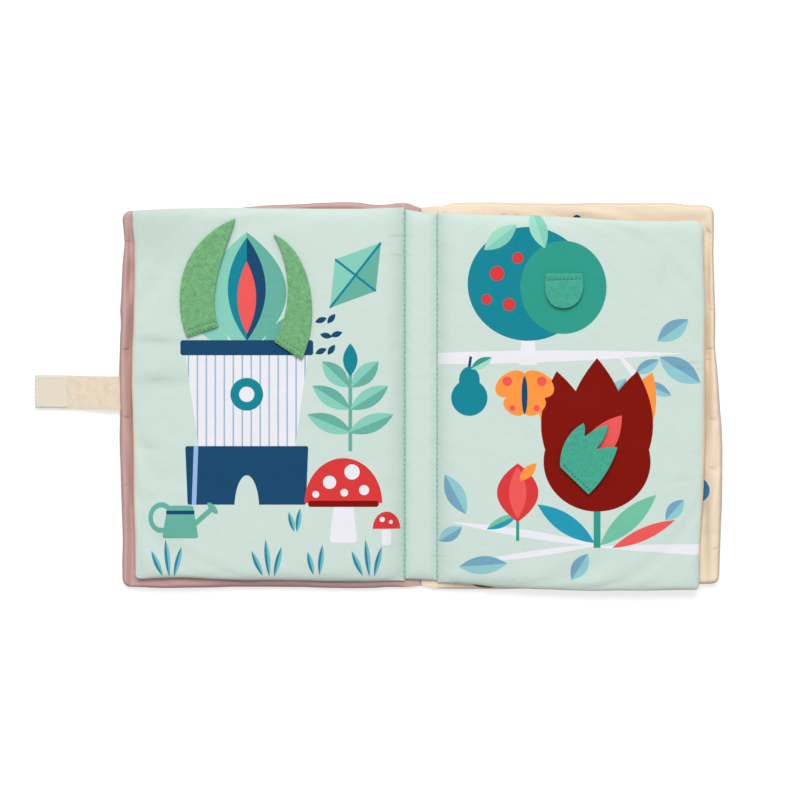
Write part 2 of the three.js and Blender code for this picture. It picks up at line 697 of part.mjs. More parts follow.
const HOOK_PATCH = { fromEnd: 0.5, length: 18.5, fromSides: 0.4 };
const hookStart = TAPE.end + HOOK_PATCH.fromEnd;
const hookPatch = flatSheet(
  hookStart,
  tapeLow + HOOK_PATCH.fromSides,
  hookStart + HOOK_PATCH.length,
  tapeHigh - HOOK_PATCH.fromSides,
  CORNER,
  TAPE.thickness + GAP,
  PATCH,
);
addPiece(book, 'hook_patch', hookPatch, HOOK_TAPE, 0.95);

export default book;
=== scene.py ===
import math
from contextlib import contextmanager

import bpy
import numpy as np
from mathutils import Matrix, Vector, noise


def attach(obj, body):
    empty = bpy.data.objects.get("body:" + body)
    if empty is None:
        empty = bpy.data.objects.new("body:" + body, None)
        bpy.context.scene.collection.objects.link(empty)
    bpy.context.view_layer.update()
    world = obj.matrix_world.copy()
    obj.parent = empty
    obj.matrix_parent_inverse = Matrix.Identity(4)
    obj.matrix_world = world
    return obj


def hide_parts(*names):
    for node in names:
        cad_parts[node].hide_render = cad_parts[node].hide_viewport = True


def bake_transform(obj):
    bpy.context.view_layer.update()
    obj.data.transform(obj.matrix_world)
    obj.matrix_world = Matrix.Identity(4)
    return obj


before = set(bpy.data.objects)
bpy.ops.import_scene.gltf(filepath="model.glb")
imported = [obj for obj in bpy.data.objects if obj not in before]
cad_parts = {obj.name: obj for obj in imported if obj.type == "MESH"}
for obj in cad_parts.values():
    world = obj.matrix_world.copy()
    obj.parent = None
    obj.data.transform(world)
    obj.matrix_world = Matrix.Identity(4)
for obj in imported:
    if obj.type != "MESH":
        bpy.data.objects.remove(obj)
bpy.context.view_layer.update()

# The book lies open on white paper, seen from straight above by a long lens. One large soft
# light stands beyond its head, and the pale room lights it evenly from all round.
VIEW_WIDTH, VIEW_HEIGHT, BOOK_HEIGHT = 0.464, 2.4, 0.009
SENSOR = 36


def select_only(*chosen):
    bpy.ops.object.select_all(action="DESELECT")
    for one in chosen:
        one.select_set(True)
    bpy.context.view_layer.objects.active = chosen[0] if chosen else None


def linear(red, green, blue):
    """A colour of 0 to 255 as the eye sees it, as the light that a shader works with."""
    shares = [value / 255 for value in (red, green, blue)]
    return [s / 12.92 if s <= 0.04045 else ((s + 0.055) / 1.055) ** 2.4 for s in shares] + [1.0]


def tinted(color, share, more=0.0):
    """A darker or lighter tone of a colour."""
    return [min(1, channel * share + more) for channel in color[:3]] + [1]


class Value:
    """One output of a finish's nodes. Arithmetic on it adds Math nodes."""

    def __init__(self, finish, socket):
        self.finish, self.socket = finish, socket

    def math(self, operation, *others, clamp=False):
        sockets = dict(enumerate((self, *others)))
        return self.finish.node("Math", sockets, operation=operation, use_clamp=clamp)

    def __add__(self, other):
        return self.math("ADD", other)

    def __sub__(self, other):
        return self.math("SUBTRACT", other)

    def __rsub__(self, other):
        return self.math("MULTIPLY_ADD", -1.0, other)

    def __mul__(self, other):
        return self.math("MULTIPLY", other)

    def __abs__(self):
        return self.math("ABSOLUTE")

    def ramp(self, slope, start):
        """A straight slope, kept between 0 and 1."""
        return self.math("MULTIPLY_ADD", slope, start, clamp=True)


class Finish:
    """The nodes of one material or of the room, with the shader that they end in."""

    def __init__(self, name, owner=None, shader="Principled BSDF", **sockets):
        self.owner = owner or bpy.data.materials.new(name)
        self.owner.use_nodes = True
        self.nodes, self.links = self.owner.node_tree.nodes, self.owner.node_tree.links
        self.surface = self.nodes[shader]
        for socket, value in sockets.items():
            self.surface.inputs[socket.replace("_", " ")].default_value = value

    def node(self, kind, sockets=None, out=0, **settings):
        made = self.nodes.new("ShaderNode" + kind)
        for setting, value in settings.items():
            setattr(made, setting, value)
        for socket, value in (sockets or {}).items():
            if isinstance(value, Value):
                self.links.new(value.socket, made.inputs[socket])
            else:
                made.inputs[socket].default_value = value
        return Value(self, made.outputs[out])

    def place(self):
        return self.node("Attribute", out="Vector", attribute_name="flat_place")

    def parts(self, vector):
        split = self.node("SeparateXYZ", {0: vector})
        return [Value(self, socket) for socket in split.socket.node.outputs]

    def vector(self, operation, *vectors):
        out = "Value" if operation == "LENGTH" else "Vector"
        return self.node("VectorMath", dict(enumerate(vectors)), out, operation=operation)

    def along(self, place, turn, sizes, middle=(0, 0, 0)):
        """The place measured from a middle, along turned directions and in sizes of its own."""
        rotation = (0, 0, math.radians(turn))
        sockets = {"Vector": place, "Location": middle, "Rotation": rotation, "Scale": sizes}
        return self.node("Mapping", sockets, vector_type="TEXTURE")

    def noise(self, place, scale, detail=2.0, roughness=0.5):
        sockets = {"Vector": place, "Scale": scale, "Detail": detail, "Roughness": roughness}
        return self.node("TexNoise", sockets)

    def mix(self, factor, first, second, blend="MIX"):
        return self.node("Mix", {0: factor, 6: first, 7: second}, 2, data_type="RGBA", blend_type=blend)

    def wear(self, value, socket="Base Color"):
        self.links.new(value.socket, self.surface.inputs[socket])

    def relief(self, height):
        self.wear(self.node("Bump", {"Strength": 1.0, "Distance": 1.0, "Height": height}), "Normal")


scene = bpy.context.scene
scene.view_settings.view_transform = "Standard"

select_only()
bpy.ops.object.camera_add(location=(-0.0122, -0.0023, VIEW_HEIGHT), rotation=(0, 0, 0))
scene.camera = bpy.context.object
scene.camera.name = "view_from_above"
lens = scene.camera.data
lens.sensor_width, lens.clip_end = SENSOR, 30
lens.lens = SENSOR * (VIEW_HEIGHT - BOOK_HEIGHT) / VIEW_WIDTH

bpy.ops.object.light_add(type="AREA", location=(-0.25, 3.3, 4.7))
window = bpy.context.object
window.name = "window_light"
window.data.size, window.data.energy = 3.5, 262
window.rotation_mode = "QUATERNION"
window.rotation_quaternion = (-window.location).to_track_quat("-Z", "Y")

room = Finish("pale_room", bpy.data.worlds.new("pale_room"), "Background",
              Color=(0.96, 0.98, 1.0, 1.0), Strength=0.5)
camera_ray, clear_ray = [room.node("LightPath", out=f"Is {kind} Ray") for kind in ("Camera", "Transmission")]
white = room.node("Background", {"Color": (1.0, 1.0, 1.0, 1.0)})
walls = room.node("MixShader", {"Fac": camera_ray.math("MAXIMUM", clear_ray),
                                1: Value(room, room.surface.outputs[0]), 2: white})
room.surface = room.nodes["World Output"]
room.wear(walls, "Surface")
scene.world = room.owner

bpy.ops.mesh.primitive_grid_add(x_subdivisions=4, y_subdivisions=4, size=6, location=(0, 0, -0.0003))
paper = bpy.context.object
paper.name = "white_paper"
matt = Finish("white_paper", Roughness=1.0, Specular_IOR_Level=0.0, Base_Color=(0.5, 0.5, 0.5, 1.0),
              Emission_Strength=1.0)
glow = matt.mix(matt.node("LightPath", out="Is Camera Ray"), (0, 0, 0, 1), (0.62, 0.62, 0.62, 1))
matt.wear(glow, "Emission Color")
paper.data.materials.append(matt.owner)

# The two cover leaves are pillows of printed polyester: an inside and an outside face sewn
# together, turned out, and filled with thin wadding. Both outsides and the strip between them are
# one cloth. The inside is mauve on the left and cream on the right.
MM = 0.001
SEAM = 9.4
CLOTH = 0.5
EDGE_STEPS = [0, 0.5, 1.3, 2.5, 4.0, 5.8, 8.0]
SEAM_STEPS = [0, 1.2, 2.6, 4.4, 6.6, 9.2]
COVER_LEVELS = {"seam": (0.9, 2.4), "full": (0.0, 6.0), "rise": (8, 10), "edge": 2.0}
UNDER_PAGE = 6.15
LEAST_GAP = 0.2
SWELL_STEPS, SWELL_LIMIT = 20, 1.1
SWELL_SETTINGS = {
    "quality": 5, "mass": 0.001, "tension_stiffness": 40, "compression_stiffness": 40,
    "shear_stiffness": 6, "bending_stiffness": 0.5, "tension_damping": 5, "compression_damping": 5,
    "shear_damping": 5, "air_damping": 3, "use_pressure": True, "uniform_pressure_force": 4,
    "vertex_group_mass": "held", "pin_stiffness": 1, "vertex_group_shrink": "drawn_in",
    "shrink_min": 0.0, "shrink_max": 0.04,
}


def rise(distance, width):
    """From 0 at an edge to 1 at a width inside it."""
    return 1 - (1 - np.minimum(distance, width) / width) ** 2


def roll(distance, width=8.0):
    """The same, round as a quarter of a circle."""
    return np.sqrt(np.maximum(0, rise(distance, width)))


def smooth(value):
    t = np.clip(value, 0, 1)
    return t * t * (3 - 2 * t)


def at_ends(share, tail, head):
    """The tail's and the head's shift, each fading out a quarter of the way along."""
    return tail * (1 - smooth(share * 4)) + head * smooth(share * 4 - 3)


def through(*points):
    """A soft line through points: a place and its value, the next place and its value, and so on."""
    places, values = np.array(points, float).reshape(-1, 2).T

    def line(at):
        after = np.clip(np.searchsorted(places, at, side="right"), 1, len(places) - 1)
        share = smooth((at - places[after - 1]) / (places[after] - places[after - 1]))
        return values[after - 1] + (values[after] - values[after - 1]) * share
    return line


def ladder(low, high, stride, near=EDGE_STEPS, far=EDGE_STEPS):
    """Places from low to high, close together at both ends."""
    start, end = [low + step for step in near], [high - step for step in reversed(far)]
    count = max(2, round((end[0] - start[-1]) / stride))
    return np.array(start + list(np.linspace(start[-1], end[0], count + 1)[1:-1]) + end)


def points_of(piece):
    flat = np.empty(len(piece.data.vertices) * 3)
    piece.data.vertices.foreach_get("co", flat)
    return flat.reshape(-1, 3)


def put_points(piece, places):
    piece.data.vertices.foreach_set("co", (places * MM).ravel())
    piece.data.update()


@contextmanager
def editing(piece):
    """Edit mode, with all of the piece selected."""
    select_only(piece)
    bpy.ops.object.mode_set(mode="EDIT")
    bpy.ops.mesh.select_all(action="SELECT")
    yield
    bpy.ops.object.mode_set(mode="OBJECT")


def grid_piece(name, places):
    """A sheet of cloth through rows of places in millimetres, and each point's number among them."""
    rows, columns = places.shape[:2]
    select_only()
    bpy.ops.mesh.primitive_grid_add(x_subdivisions=rows - 1, y_subdivisions=columns - 1, size=2)
    piece = bpy.context.object
    piece.name = piece.data.name = name
    shares = (points_of(piece)[:, :2] + 1) / 2
    row, column = np.rint(shares * (rows - 1, columns - 1)).astype(int).T
    put_points(piece, places[row, column])
    return piece, row * columns + column


def turn_over(piece):
    with editing(piece):
        bpy.ops.mesh.flip_normals()


def apply_modifiers(piece):
    select_only(piece)
    for modifier in list(piece.modifiers):
        bpy.ops.object.modifier_apply(modifier=modifier.name)


def dress(piece, finish):
    """Gives a piece its finish, and remembers each point's place on the open book, for prints and
    weaves that follow the cloth."""
    piece.data.materials.clear()
    piece.data.materials.append(finish.owner)
    select_only(piece)
    bpy.ops.object.shade_smooth()
    attribute = piece.data.attributes.new("flat_place", "FLOAT_VECTOR", "POINT")
    attribute.data.foreach_set("vector", points_of(piece).astype(np.float32).ravel())
    return piece


def sheet(name, places, finish, thickness=CLOTH, facing=1):
    """A cloth of one thickness through rows of places, its wall on the side that it faces away from."""
    piece, _ = grid_piece(name, places)
    if facing < 0:
        turn_over(piece)
    finer = piece.modifiers.new("finer", "SUBSURF")
    finer.levels = finer.render_levels = 1
    wall = piece.modifiers.new("wall", "SOLIDIFY")
    wall.thickness, wall.offset = thickness * MM, -1
    apply_modifiers(piece)
    return dress(piece, finish)


def leaf_places(leaf, levels):
    """Upper and lower face of an empty leaf, as rows from the stitch line to the fore-edge."""
    width = leaf["width"]
    s = ladder(0, width, 4.2, near=SEAM_STEPS)
    t = ladder(leaf["tail"](0), leaf["head"](0), 3.6)
    low, high, from_fore = t[0], t[-1], width - s
    cuts = [corner * (1 - roll(from_fore, corner)) for corner in leaf["corners"]]
    tail, head = leaf["tail"](s) + cuts[0], leaf["head"](s) - cuts[1]
    y = t + at_ends((t - low) / (high - low), (tail - low)[:, None], (head - high)[:, None])
    stretch = (leaf["fore"](y) - width) * smooth(s / width)[:, None]
    x = leaf["side"] * (SEAM + s[:, None] + stretch)
    lower, upper = [seam + (full - seam) * rise(s, reach) for seam, full, reach
                    in zip(levels["seam"], levels["full"], levels["rise"])]
    middle = (upper + lower) / 2
    edge = levels["edge"]
    open_by = roll(from_fore, edge)[:, None] * roll(np.minimum(t - low, high - t), edge)
    heights = [middle[:, None] + (face - middle)[:, None] * open_by for face in (upper, lower)]
    return s, *[np.stack([x, y, z], axis=2) for z in heights]


def swell(name, side, upper, lower):
    """Sews the two faces together, blows the leaf up as a pillow whose seam draws in, and gives
    back its faces. The wadding holds the middle, so that the cloth puckers along its seams."""
    rows, columns = upper.shape[:2]
    middle = (upper + lower) / 2
    starts = [middle + (face - middle) * 0.75 for face in (upper, lower)]
    halves = []
    for number, start in enumerate(starts):
        half, at = grid_piece(f"{name}_half_{number}", start)
        at = (at + number * rows * columns).astype(np.int32)
        half.data.attributes.new("grid_number", "INT", "POINT").data.foreach_set("value", at)
        halves.append(half)
    turn_over(halves[1 if side > 0 else 0])
    select_only(*halves)
    bpy.ops.object.join()
    pillow = halves[0]
    with editing(pillow):
        bpy.ops.mesh.remove_doubles(threshold=1e-6)
        bpy.ops.mesh.normals_make_consistent(inside=False)
    numbers = np.empty(len(pillow.data.vertices), np.int32)
    pillow.data.attributes["grid_number"].data.foreach_get("value", numbers)
    row, column = numbers % (rows * columns) // columns, numbers % columns
    rim = np.minimum(np.minimum(column, columns - 1 - column), rows - 1 - row)
    held, drawn = [pillow.vertex_groups.new(name=group) for group in ("held", "drawn_in")]
    for index, (r, depth) in enumerate(zip(row.tolist(), rim.tolist())):
        held.add([index], 1.0 if r == 0 else 0.6 if depth > 9 else 0.25, "REPLACE")
        if depth <= 3:
            drawn.add([index], 1.0, "REPLACE")
    cloth = pillow.modifiers.new("cloth", "CLOTH")
    for setting, value in SWELL_SETTINGS.items():
        setattr(cloth.settings, setting, value)
    cloth.settings.effector_weights.gravity = 0
    cloth.collision_settings.use_collision = cloth.collision_settings.use_self_collision = False
    cloth.point_cache.frame_start, cloth.point_cache.frame_end = 1, SWELL_STEPS
    for step in range(1, SWELL_STEPS + 1):
        scene.frame_set(step)
    apply_modifiers(pillow)
    scene.frame_set(1)
    found = np.full((rows * columns * 2, 3), np.nan)
    found[numbers] = points_of(pillow) / MM
    bpy.data.objects.remove(pillow)
    found = found.reshape(2, rows, columns, 3)
    found = np.where(np.isnan(found), found[::-1], found)
    faces = []
    for face, start, shape in zip((upper, lower), starts, found):
        moved = even_out(shape - start)
        moved[:, :, 0] -= moved[-1:, 3:-3, 0].mean() * np.linspace(0, 1, rows)[:, None]
        for edge, share in ((0, np.linspace(1, 0, columns)), (-1, np.linspace(0, 1, columns))):
            moved[:, :, 1] -= moved[3:, edge, 1].mean() * share
        size = np.linalg.norm(moved, axis=2, keepdims=True)
        moved *= SWELL_LIMIT * np.tanh(size / SWELL_LIMIT) / np.maximum(size, 1e-9)
        faces.append(face + moved)
    return faces


def even_out(moved):
    """Each point takes part of its neighbours' moves, so no crease is narrower than the cloth allows."""
    for axis in (0, 1):
        padded = np.concatenate([moved.take([0], axis), moved, moved.take([-1], axis)], axis)
        count = moved.shape[axis]
        moved = (padded.take(range(count), axis) + 2 * moved + padded.take(range(2, count + 2), axis)) / 4
    return moved


def puckers(face, side, spread=9.0):
    """Small gathers where the stitch line holds the cloth."""
    x, y = face[..., 0], face[..., 1]
    from_seam = np.abs(np.abs(x) - SEAM)
    wave = np.sin(y / 1.15 + 1.7 * np.sin(y / 13 + side) + 0.02 * from_seam * y)
    wave += 0.6 * np.sin(y / 2.3 + side * 2 + 2.2 * np.sin(y / 21))
    return 0.35 * wave * np.exp(-from_seam / spread) * smooth(from_seam / 2.2)


def ripples(face, seed, size):
    """Low soft creases over the whole face, as stuffed cloth has after use."""
    heights = np.empty(face.shape[:2])
    for at in np.ndindex(heights.shape):
        x, y = face[at][:2] / 26
        broad = noise.noise(Vector((x + seed, y * 0.8 - seed, seed * 3.1)))
        fine = noise.noise(Vector((x * 2.6 - seed, y * 2.2, seed)))
        heights[at] = 1 - 2.2 * abs(broad) + 0.45 * fine
    return size * heights


def by_line(x, y, x0, y0, x1, y1):
    """How far along a line a place lies, as a share of it, and how far beside it."""
    length = math.hypot(x1 - x0, y1 - y0)
    along = ((x - x0) * (x1 - x0) + (y - y0) * (y1 - y0)) / length ** 2
    return along, ((x - x0) * (y1 - y0) - (y - y0) * (x1 - x0)) / length


def straight_folds(face, folds):
    """Ridges and valleys along straight lines, each from one point to another, with height and width."""
    height = np.zeros(face.shape[:2])
    for *line, size, width in folds:
        along, across = by_line(face[..., 0], face[..., 1], *line)
        height += size * smooth(along * 4) * smooth((1 - along) * 4) * np.exp(-(across / width) ** 2)
    return height


front_cover = {
    "side": -1, "width": 165, "corners": (4.6, 4.6),
    "head": through(0, 111.4, 5, 111.2, 10, 110.2, 19, 110.2, 27, 111.8, 36, 112.4, 49, 112.4, 62, 111.6,
        81, 111.2, 90, 110.2, 100, 109, 130, 108.4, 165, 108.2),
    "tail": through(0, -110.1, 9, -110, 19, -110.7, 32, -111.1, 45, -111, 61, -110.5, 76, -110.5,
        96, -110.8, 119, -111.8, 140, -112.2, 160, -111.6),
    "fore": through(-98, 165, -83, 164.4, -46, 164.8, -25, 165.2, -9, 164.6, 0, 165.2, 14, 165.4, 33, 165,
        43, 164.4, 50, 165.2, 61, 164.5, 76, 164.4, 84, 163.9, 90, 163.3, 96, 164.1, 103, 165),
}
back_cover = {
    "side": 1, "width": 163.2, "corners": (4.6, 4.6),
    "head": through(0, 109.6, 4, 109.7, 10, 111.5, 30, 111.9, 45, 111.5, 65, 111.4, 80, 111.6, 90, 112.2,
        112, 112.5, 122, 112.9, 135, 112.9, 141, 112.6, 147, 111.4, 160, 111.3),
    "tail": through(0, -111, 19, -111.2, 36, -111.5, 100, -111, 150, -109.8),
    "fore": through(-104, 164.9, -78, 165.3, -57, 165.8, -32, 165.8, -22, 165.3, -14, 164.6, -9, 163.8,
        0, 163.2, 9, 162.5, 18, 161.7, 24, 161, 30, 160.4, 38, 160.8, 50, 161, 60, 160.7, 80, 160.9,
        93, 161.4, 105, 161.7),
}
left_page = {
    "side": -1, "width": 157.6, "corners": (2.6, 1.4),
    "head": through(0, 108.6, 10, 108.9, 26, 108.2, 45, 108.2, 61, 108.4, 78, 108.7, 98, 109.4, 130, 109.4,
        142, 109, 157, 108.4),
    "tail": through(0, -106.3, 10, -106.6, 20, -107, 43, -106.9, 61, -106.3, 80, -106.1, 95, -106.8,
        108, -106.7, 130, -105.9, 140, -106.1, 157, -106.8),
    "fore": through(-60, 157, -30, 156.8, -11, 157.2, 6, 158, 26, 157.8, 40, 157, 73, 157.2, 90, 157.6,
        99, 158.7),
}
right_page = {
    "side": 1, "width": 154.6, "corners": (1.6, 4.0),
    "head": through(0, 105.7, 15, 105.5, 36, 104.7, 54, 104.4, 65, 104.1, 83, 103.2, 103, 102.5, 138, 102.3,
        147, 102.6, 155, 102.2),
    "tail": through(0, -107.2, 8, -107.9, 19, -108.7, 36, -110.5, 60, -111.8, 83, -112.8, 92, -113.2,
        103, -113, 123, -113.4, 150, -113.1),
    "fore": through(-110, 152.6, -89, 152.9, -72, 153.6, -49, 154.2, -37, 154.6, -25, 154.8, 26, 154.7,
        40, 155, 100, 155),
}
SPINE_HEAD, SPINE_TAIL = 109.6, -110.3


def stuffed(name, leaf, levels):
    """A leaf's rows, its two faces swollen by their wadding, and how far inside its edges each point
    lies, from 0 to 1: first with the stitch line counted as an edge, then without it."""
    s, upper, lower = leaf_places(leaf, levels)
    upper, lower = swell(name, leaf["side"], upper, lower)
    y = upper[..., 1]
    from_ends = np.minimum(y[:, -1:] - y, y - y[:, :1])
    within = smooth(np.minimum((leaf["width"] - s)[:, None], from_ends) / 1.6)
    return s[:, None], upper, lower, smooth(s / 12)[:, None] * within, within


def strip_rows(face, places, height):
    """Rows of cloth between the spine's middle and the first row of a face."""
    y = face[0, :, 1]
    ends = at_ends((y - y[0]) / (y[-1] - y[0]), SPINE_TAIL - y[0], SPINE_HEAD - y[-1])
    rows = [np.stack([np.full(len(y), x), y + ends * (1 - smooth(abs(x) / SEAM)), np.full(len(y), height(x))],
                     axis=1) for x in places]
    return np.concatenate([np.array(rows), face], axis=0)


def spine_floor(x):
    """Flat on the table along the spine, and up to the seam beside it."""
    return 0.9 * max(0, (abs(x) - 5) / 3.8)


def leaf_cloth(name, face, finish, facing, stands_for):
    """A face of a leaf, shown in place of the parts that it stands for."""
    piece = sheet(name, face, finish, facing=facing)
    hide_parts(*stands_for)
    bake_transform(piece)


def spine_cloth(name, places, finish, facing, stands_for):
    """A strip of cloth that stays on the spine."""
    piece = sheet(name, places, finish, facing=facing)
    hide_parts(stands_for)
    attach(piece, "spine")


class Cloth(Finish):
    """Woven polyester: a fine plain weave, faint shading in the dye, and small crinkles. Flat shapes
    are printed on it one over the other, each placed in millimetres on the page."""
    WEAVE, INK_EDGE = 9000.0, 0.22

    def __init__(self, name, color, folds=()):
        super().__init__(name, Roughness=0.62, Sheen_Weight=0.02, Sheen_Roughness=0.4,
                         Specular_IOR_Level=0.08)
        self.at = self.place()
        cloud = (self.noise(self.at, 38, 3) - 0.5).ramp(0.06, 0.5)
        self.color = self.mix(cloud, tinted(color, 0.9), tinted(color, 1.1))
        x, y, _ = self.parts(self.at)
        threads = (x * self.WEAVE).math("SINE") * (y * self.WEAVE).math("SINE")
        height = threads * 0.000012 + abs(self.noise(self.at, 95) - 0.5) * -0.00042
        # painted shade: each pressed fold also darkens the cloth's colour, for the shade in its crease, and
        # beside a page's edge for the page's shadow
        if folds:
            depth = self.pressed(folds)
            height = depth.math("MULTIPLY_ADD", -0.0004, height)
            self.color = self.mix(depth * 0.4, self.color, tinted(color, 0.5))
        self.ground = self.color
        self.relief(height)

    def local(self, x, y, turn=0.0, width=1.0, height=1.0):
        """The place measured from a shape's middle, along its own directions, in its own sizes."""
        return self.along(self.at, turn, (width * MM, height * MM, 1e6), (x * MM, y * MM, 0))

    def pressed(self, folds):
        """How deep each point lies in a small fold, which sets both its bump and its painted shade: its
        middle, half its length and width, its turn and how sharply it is pressed."""
        deepest = 0.0
        for x, y, length, width, turn, firm in folds:
            far = self.vector("LENGTH", self.local(x, y, turn, length, width))
            deepest = far.ramp(-firm, firm).math("MAXIMUM", deepest)
        return deepest * deepest

    def lay(self, color, distance, limit, size=1.0):
        """Paints where the distance is under its limit. The size is that of one unit of distance."""
        steep = size / self.INK_EDGE
        paint = color if isinstance(color, Value) else linear(*color)
        self.color = self.mix(distance.ramp(-steep, limit * steep + 0.5), self.color, paint)

    def repeat(self, start, end):
        """The stretch from start to end comes again and again across the page."""
        self.at = self.vector("WRAP", self.at, (end * MM, 1, 1), (start * MM, -1, -1))

    def ovals(self, color, *places, cut=None):
        """Ellipses with half their width, and their height and turn where they have one. A cut keeps
        only the upper part."""
        for x, y, width, *more in places:
            height, turn = [*more, *[width, 0.0][len(more):]]
            middle = self.local(x, y, turn, width, height)
            far = self.vector("LENGTH", middle)
            if cut is not None:
                far = far.math("MAXIMUM", (cut - self.parts(middle)[1]) + 1.0)
            self.lay(color, far, 1.0, min(width, height))

    def ring(self, color, x, y, width, height, thick):
        """A drawn line along an ellipse."""
        size = min(width, height)
        far = self.vector("LENGTH", self.local(x, y, 0, width, height))
        self.lay(color, abs(far - 1.0), thick / 2 / size, size)

    def leaves(self, tones, *places, straight=False):
        """Pointed leaves with half their length and width, and their turn. Of two tones, the second
        is that of the lower half."""
        for x, y, length, width, turn in places:
            u, v, _ = self.parts(self.local(x, y, turn, length, width))
            far = abs(u) + abs(v) if straight else u.math("MULTIPLY_ADD", u, abs(v))
            color = tones
            if isinstance(tones[0], tuple):
                color = self.mix(v.ramp(width / self.INK_EDGE, 0.5), linear(*tones[1]), linear(*tones[0]))
            self.lay(color, far, 1.0, width)

    def blocks(self, color, *places, taper=0.0, round_by=0.3):
        """Bars with half their width and height, and their turn, wider at the top by the taper."""
        for x, y, width, height, *turn in places:
            place = self.local(x, y, *turn)
            if taper:
                u, v, _ = self.parts(place)
                place = self.node("CombineXYZ", {0: v.math("MULTIPLY_ADD", -taper, abs(u)), 1: abs(v)})
            else:
                place = self.vector("ABSOLUTE", place)
            over = self.vector("SUBTRACT", place, (width - round_by, height - round_by, 1))
            self.lay(color, self.vector("LENGTH", self.vector("MAXIMUM", over, (0, 0, 0))), round_by)

    def paint_seam_shade(self):
        """Painted shade: a darker green band along each stitch line where the cloth dips, less on the right
        row.
        """
        x, y, _ = self.parts(self.place())
        off, uneven = abs(abs(x) - SEAM * MM), self.noise(self.place(), 110) * 0.0016
        line = (0.0012 - off + uneven * 0.3).ramp(1300, 0.5) * (0.34 - x.ramp(1000, 0.5) * 0.12)
        shade = (off - uneven).ramp(-44.2, 0.17).math("MAXIMUM", line)
        self.color = self.mix(shade, self.color, linear(128, 184, 168))

    def wrap_edge(self, rim, past, lean, below):
        """The weave shows through the ink, the stitch lines get their painted shade, and the underside's
        cloth wraps up over the leaf's outer edge."""
        weave = self.node("Mapping", {"Vector": self.at, "Scale": (0.2, 1.0, 1.0)})
        threads = self.mix(self.noise(weave, 1500, 2, 0.6).ramp(1.6, -0.3), (0, 0, 0, 1), (1, 1, 1, 1))
        self.color = self.mix(0.09, self.color, threads, "SOFT_LIGHT")
        self.paint_seam_shade()
        x, y, z = self.parts(self.at)
        turned = (rim * MM - z).ramp(2500, 0.5) * (abs(x) - y * lean - past * MM).ramp(1500, 0.5)
        turned = turned * (below * MM - y).ramp(300, 0.5)
        self.color = self.mix(turned, self.color, linear(226, 204, 172))

    def done(self):
        self.wear(self.color)
        return self


MINT, MAUVE, CREAM = linear(202, 218, 209), linear(199, 161, 155), linear(236, 216, 190)
# Pressed folds of the covers' insides, each with painted shade in the cloth's colour. The long strips beside
# the pages' edges are the pages' painted shadow on the covers.
MAUVE_PRESSED_SHADE = [
    (-171, 90, 6, 1.6, -12, 0.9), (-171.5, 80, 4, 1.6, 14, 0.5), (-171, 27, 5, 1.5, 8, 0.9),
    (-170.5, -12.5, 6, 1.8, -8, 1.0), (-172, -52, 4, 1.6, 10, 0.6), (-147, -109, 3, 1.6, 70, 0.8),
    (-98, -108.6, 3, 1.6, 96, 0.7), (-53, 110.8, 3, 1.6, 80, 0.6), (-17, -108.6, 2, 1.0, 90, 0.8),
    (-88, -109.4, 96, 4.0, 0, 1.22), (-167.6, -5, 98, 1.9, 90, 0.8),
]
CREAM_PRESSED_SHADE = [
    (167.2, 95.4, 5, 1.6, -49, 1.0), (168.5, 50, 4.6, 1.6, -8, 0.9), (167.5, 27.3, 5, 1.5, 2, 1.0),
    (167, 21, 5, 1.5, -2, 0.8), (168.8, -13.5, 7.5, 3.0, -6, 1.0), (168.6, -42, 6.5, 2.4, -8, 0.9),
    (170.6, -89, 5, 1.6, 20, 0.8), (166.0, -78, 46, 3.6, 91, 1.16), (165.9, -18, 44, 3.6, 89, 1.1),
    (165.8, 50, 46, 2.6, 90, 0.7), (90, 110.6, 104, 4.6, 0.4, 0.64),
    (48, 105, 3, 1.5, 4, 1.0), (56, 104.8, 3, 1.3, -8, 0.8), (13.5, 106.2, 2, 1.4, 8, 1.0),
    (141, 109.5, 3.5, 2.0, -60, 0.5), (20, -108.9, 2, 0.9, 86, 0.9),
]
mauve_finish = Cloth("mauve_polyester", MAUVE, MAUVE_PRESSED_SHADE).done()
cream_finish = Cloth("cream_polyester", CREAM, CREAM_PRESSED_SHADE)
cream_finish.ovals((58, 118, 160), (159.6, -54.7, 8.0, 7.6))
cream_finish.ovals((40, 70, 120), (90.5, 102.6, 2.6), (83, 101.4, 2.6))
cream_finish.ovals((104, 92, 60), (39, -108.6, 9.6, 2.8))
cream_finish.done()
outside_finish = Cloth("outside_polyester", linear(233, 220, 198)).done()

MAUVE_FOLDS = [
    (-178, 92, -160, 88, -0.9, 1.1), (-178, 78, -160, 82, 0.5, 2.4),
    (-178, 24, -160, 28, -0.8, 1.2), (-178, -9, -160, -14, -1.0, 1.1),
    (-178, -55, -160, -50, -0.5, 1.6), (-150, -114, -146, -100, -0.7, 1.6),
    (-96, -114, -99, -100, -0.6, 1.8), (-52, 116, -56, 102, -0.5, 2.0),
    (-171, 60, -168, -80, 0.35, 2.6), (-166, -80, -166, 90, -0.5, 1.8),
]
CREAM_FOLDS = [
    (176, 92, 156, 100, -0.9, 1.2), (178, 51, 158, 50, -0.7, 1.2),
    (178, 28, 158, 25, -0.9, 1.1), (178, 21, 158, 22, -0.7, 1.1),
    (180, -14, 158, -12, -1.3, 1.3), (180, -42, 158, -39.5, -1.1, 1.3),
    (180, -78, 160, -82, -0.6, 1.8), (171, -98, 169, 30, 0.5, 2.6),
    (166, -100, 165, 90, -0.6, 1.8), (40, 114, 44, 102, -0.6, 1.8),
    (118, 115, 120, 103, -0.7, 1.6), (146, 114, 150, 100, -0.8, 1.4),
]
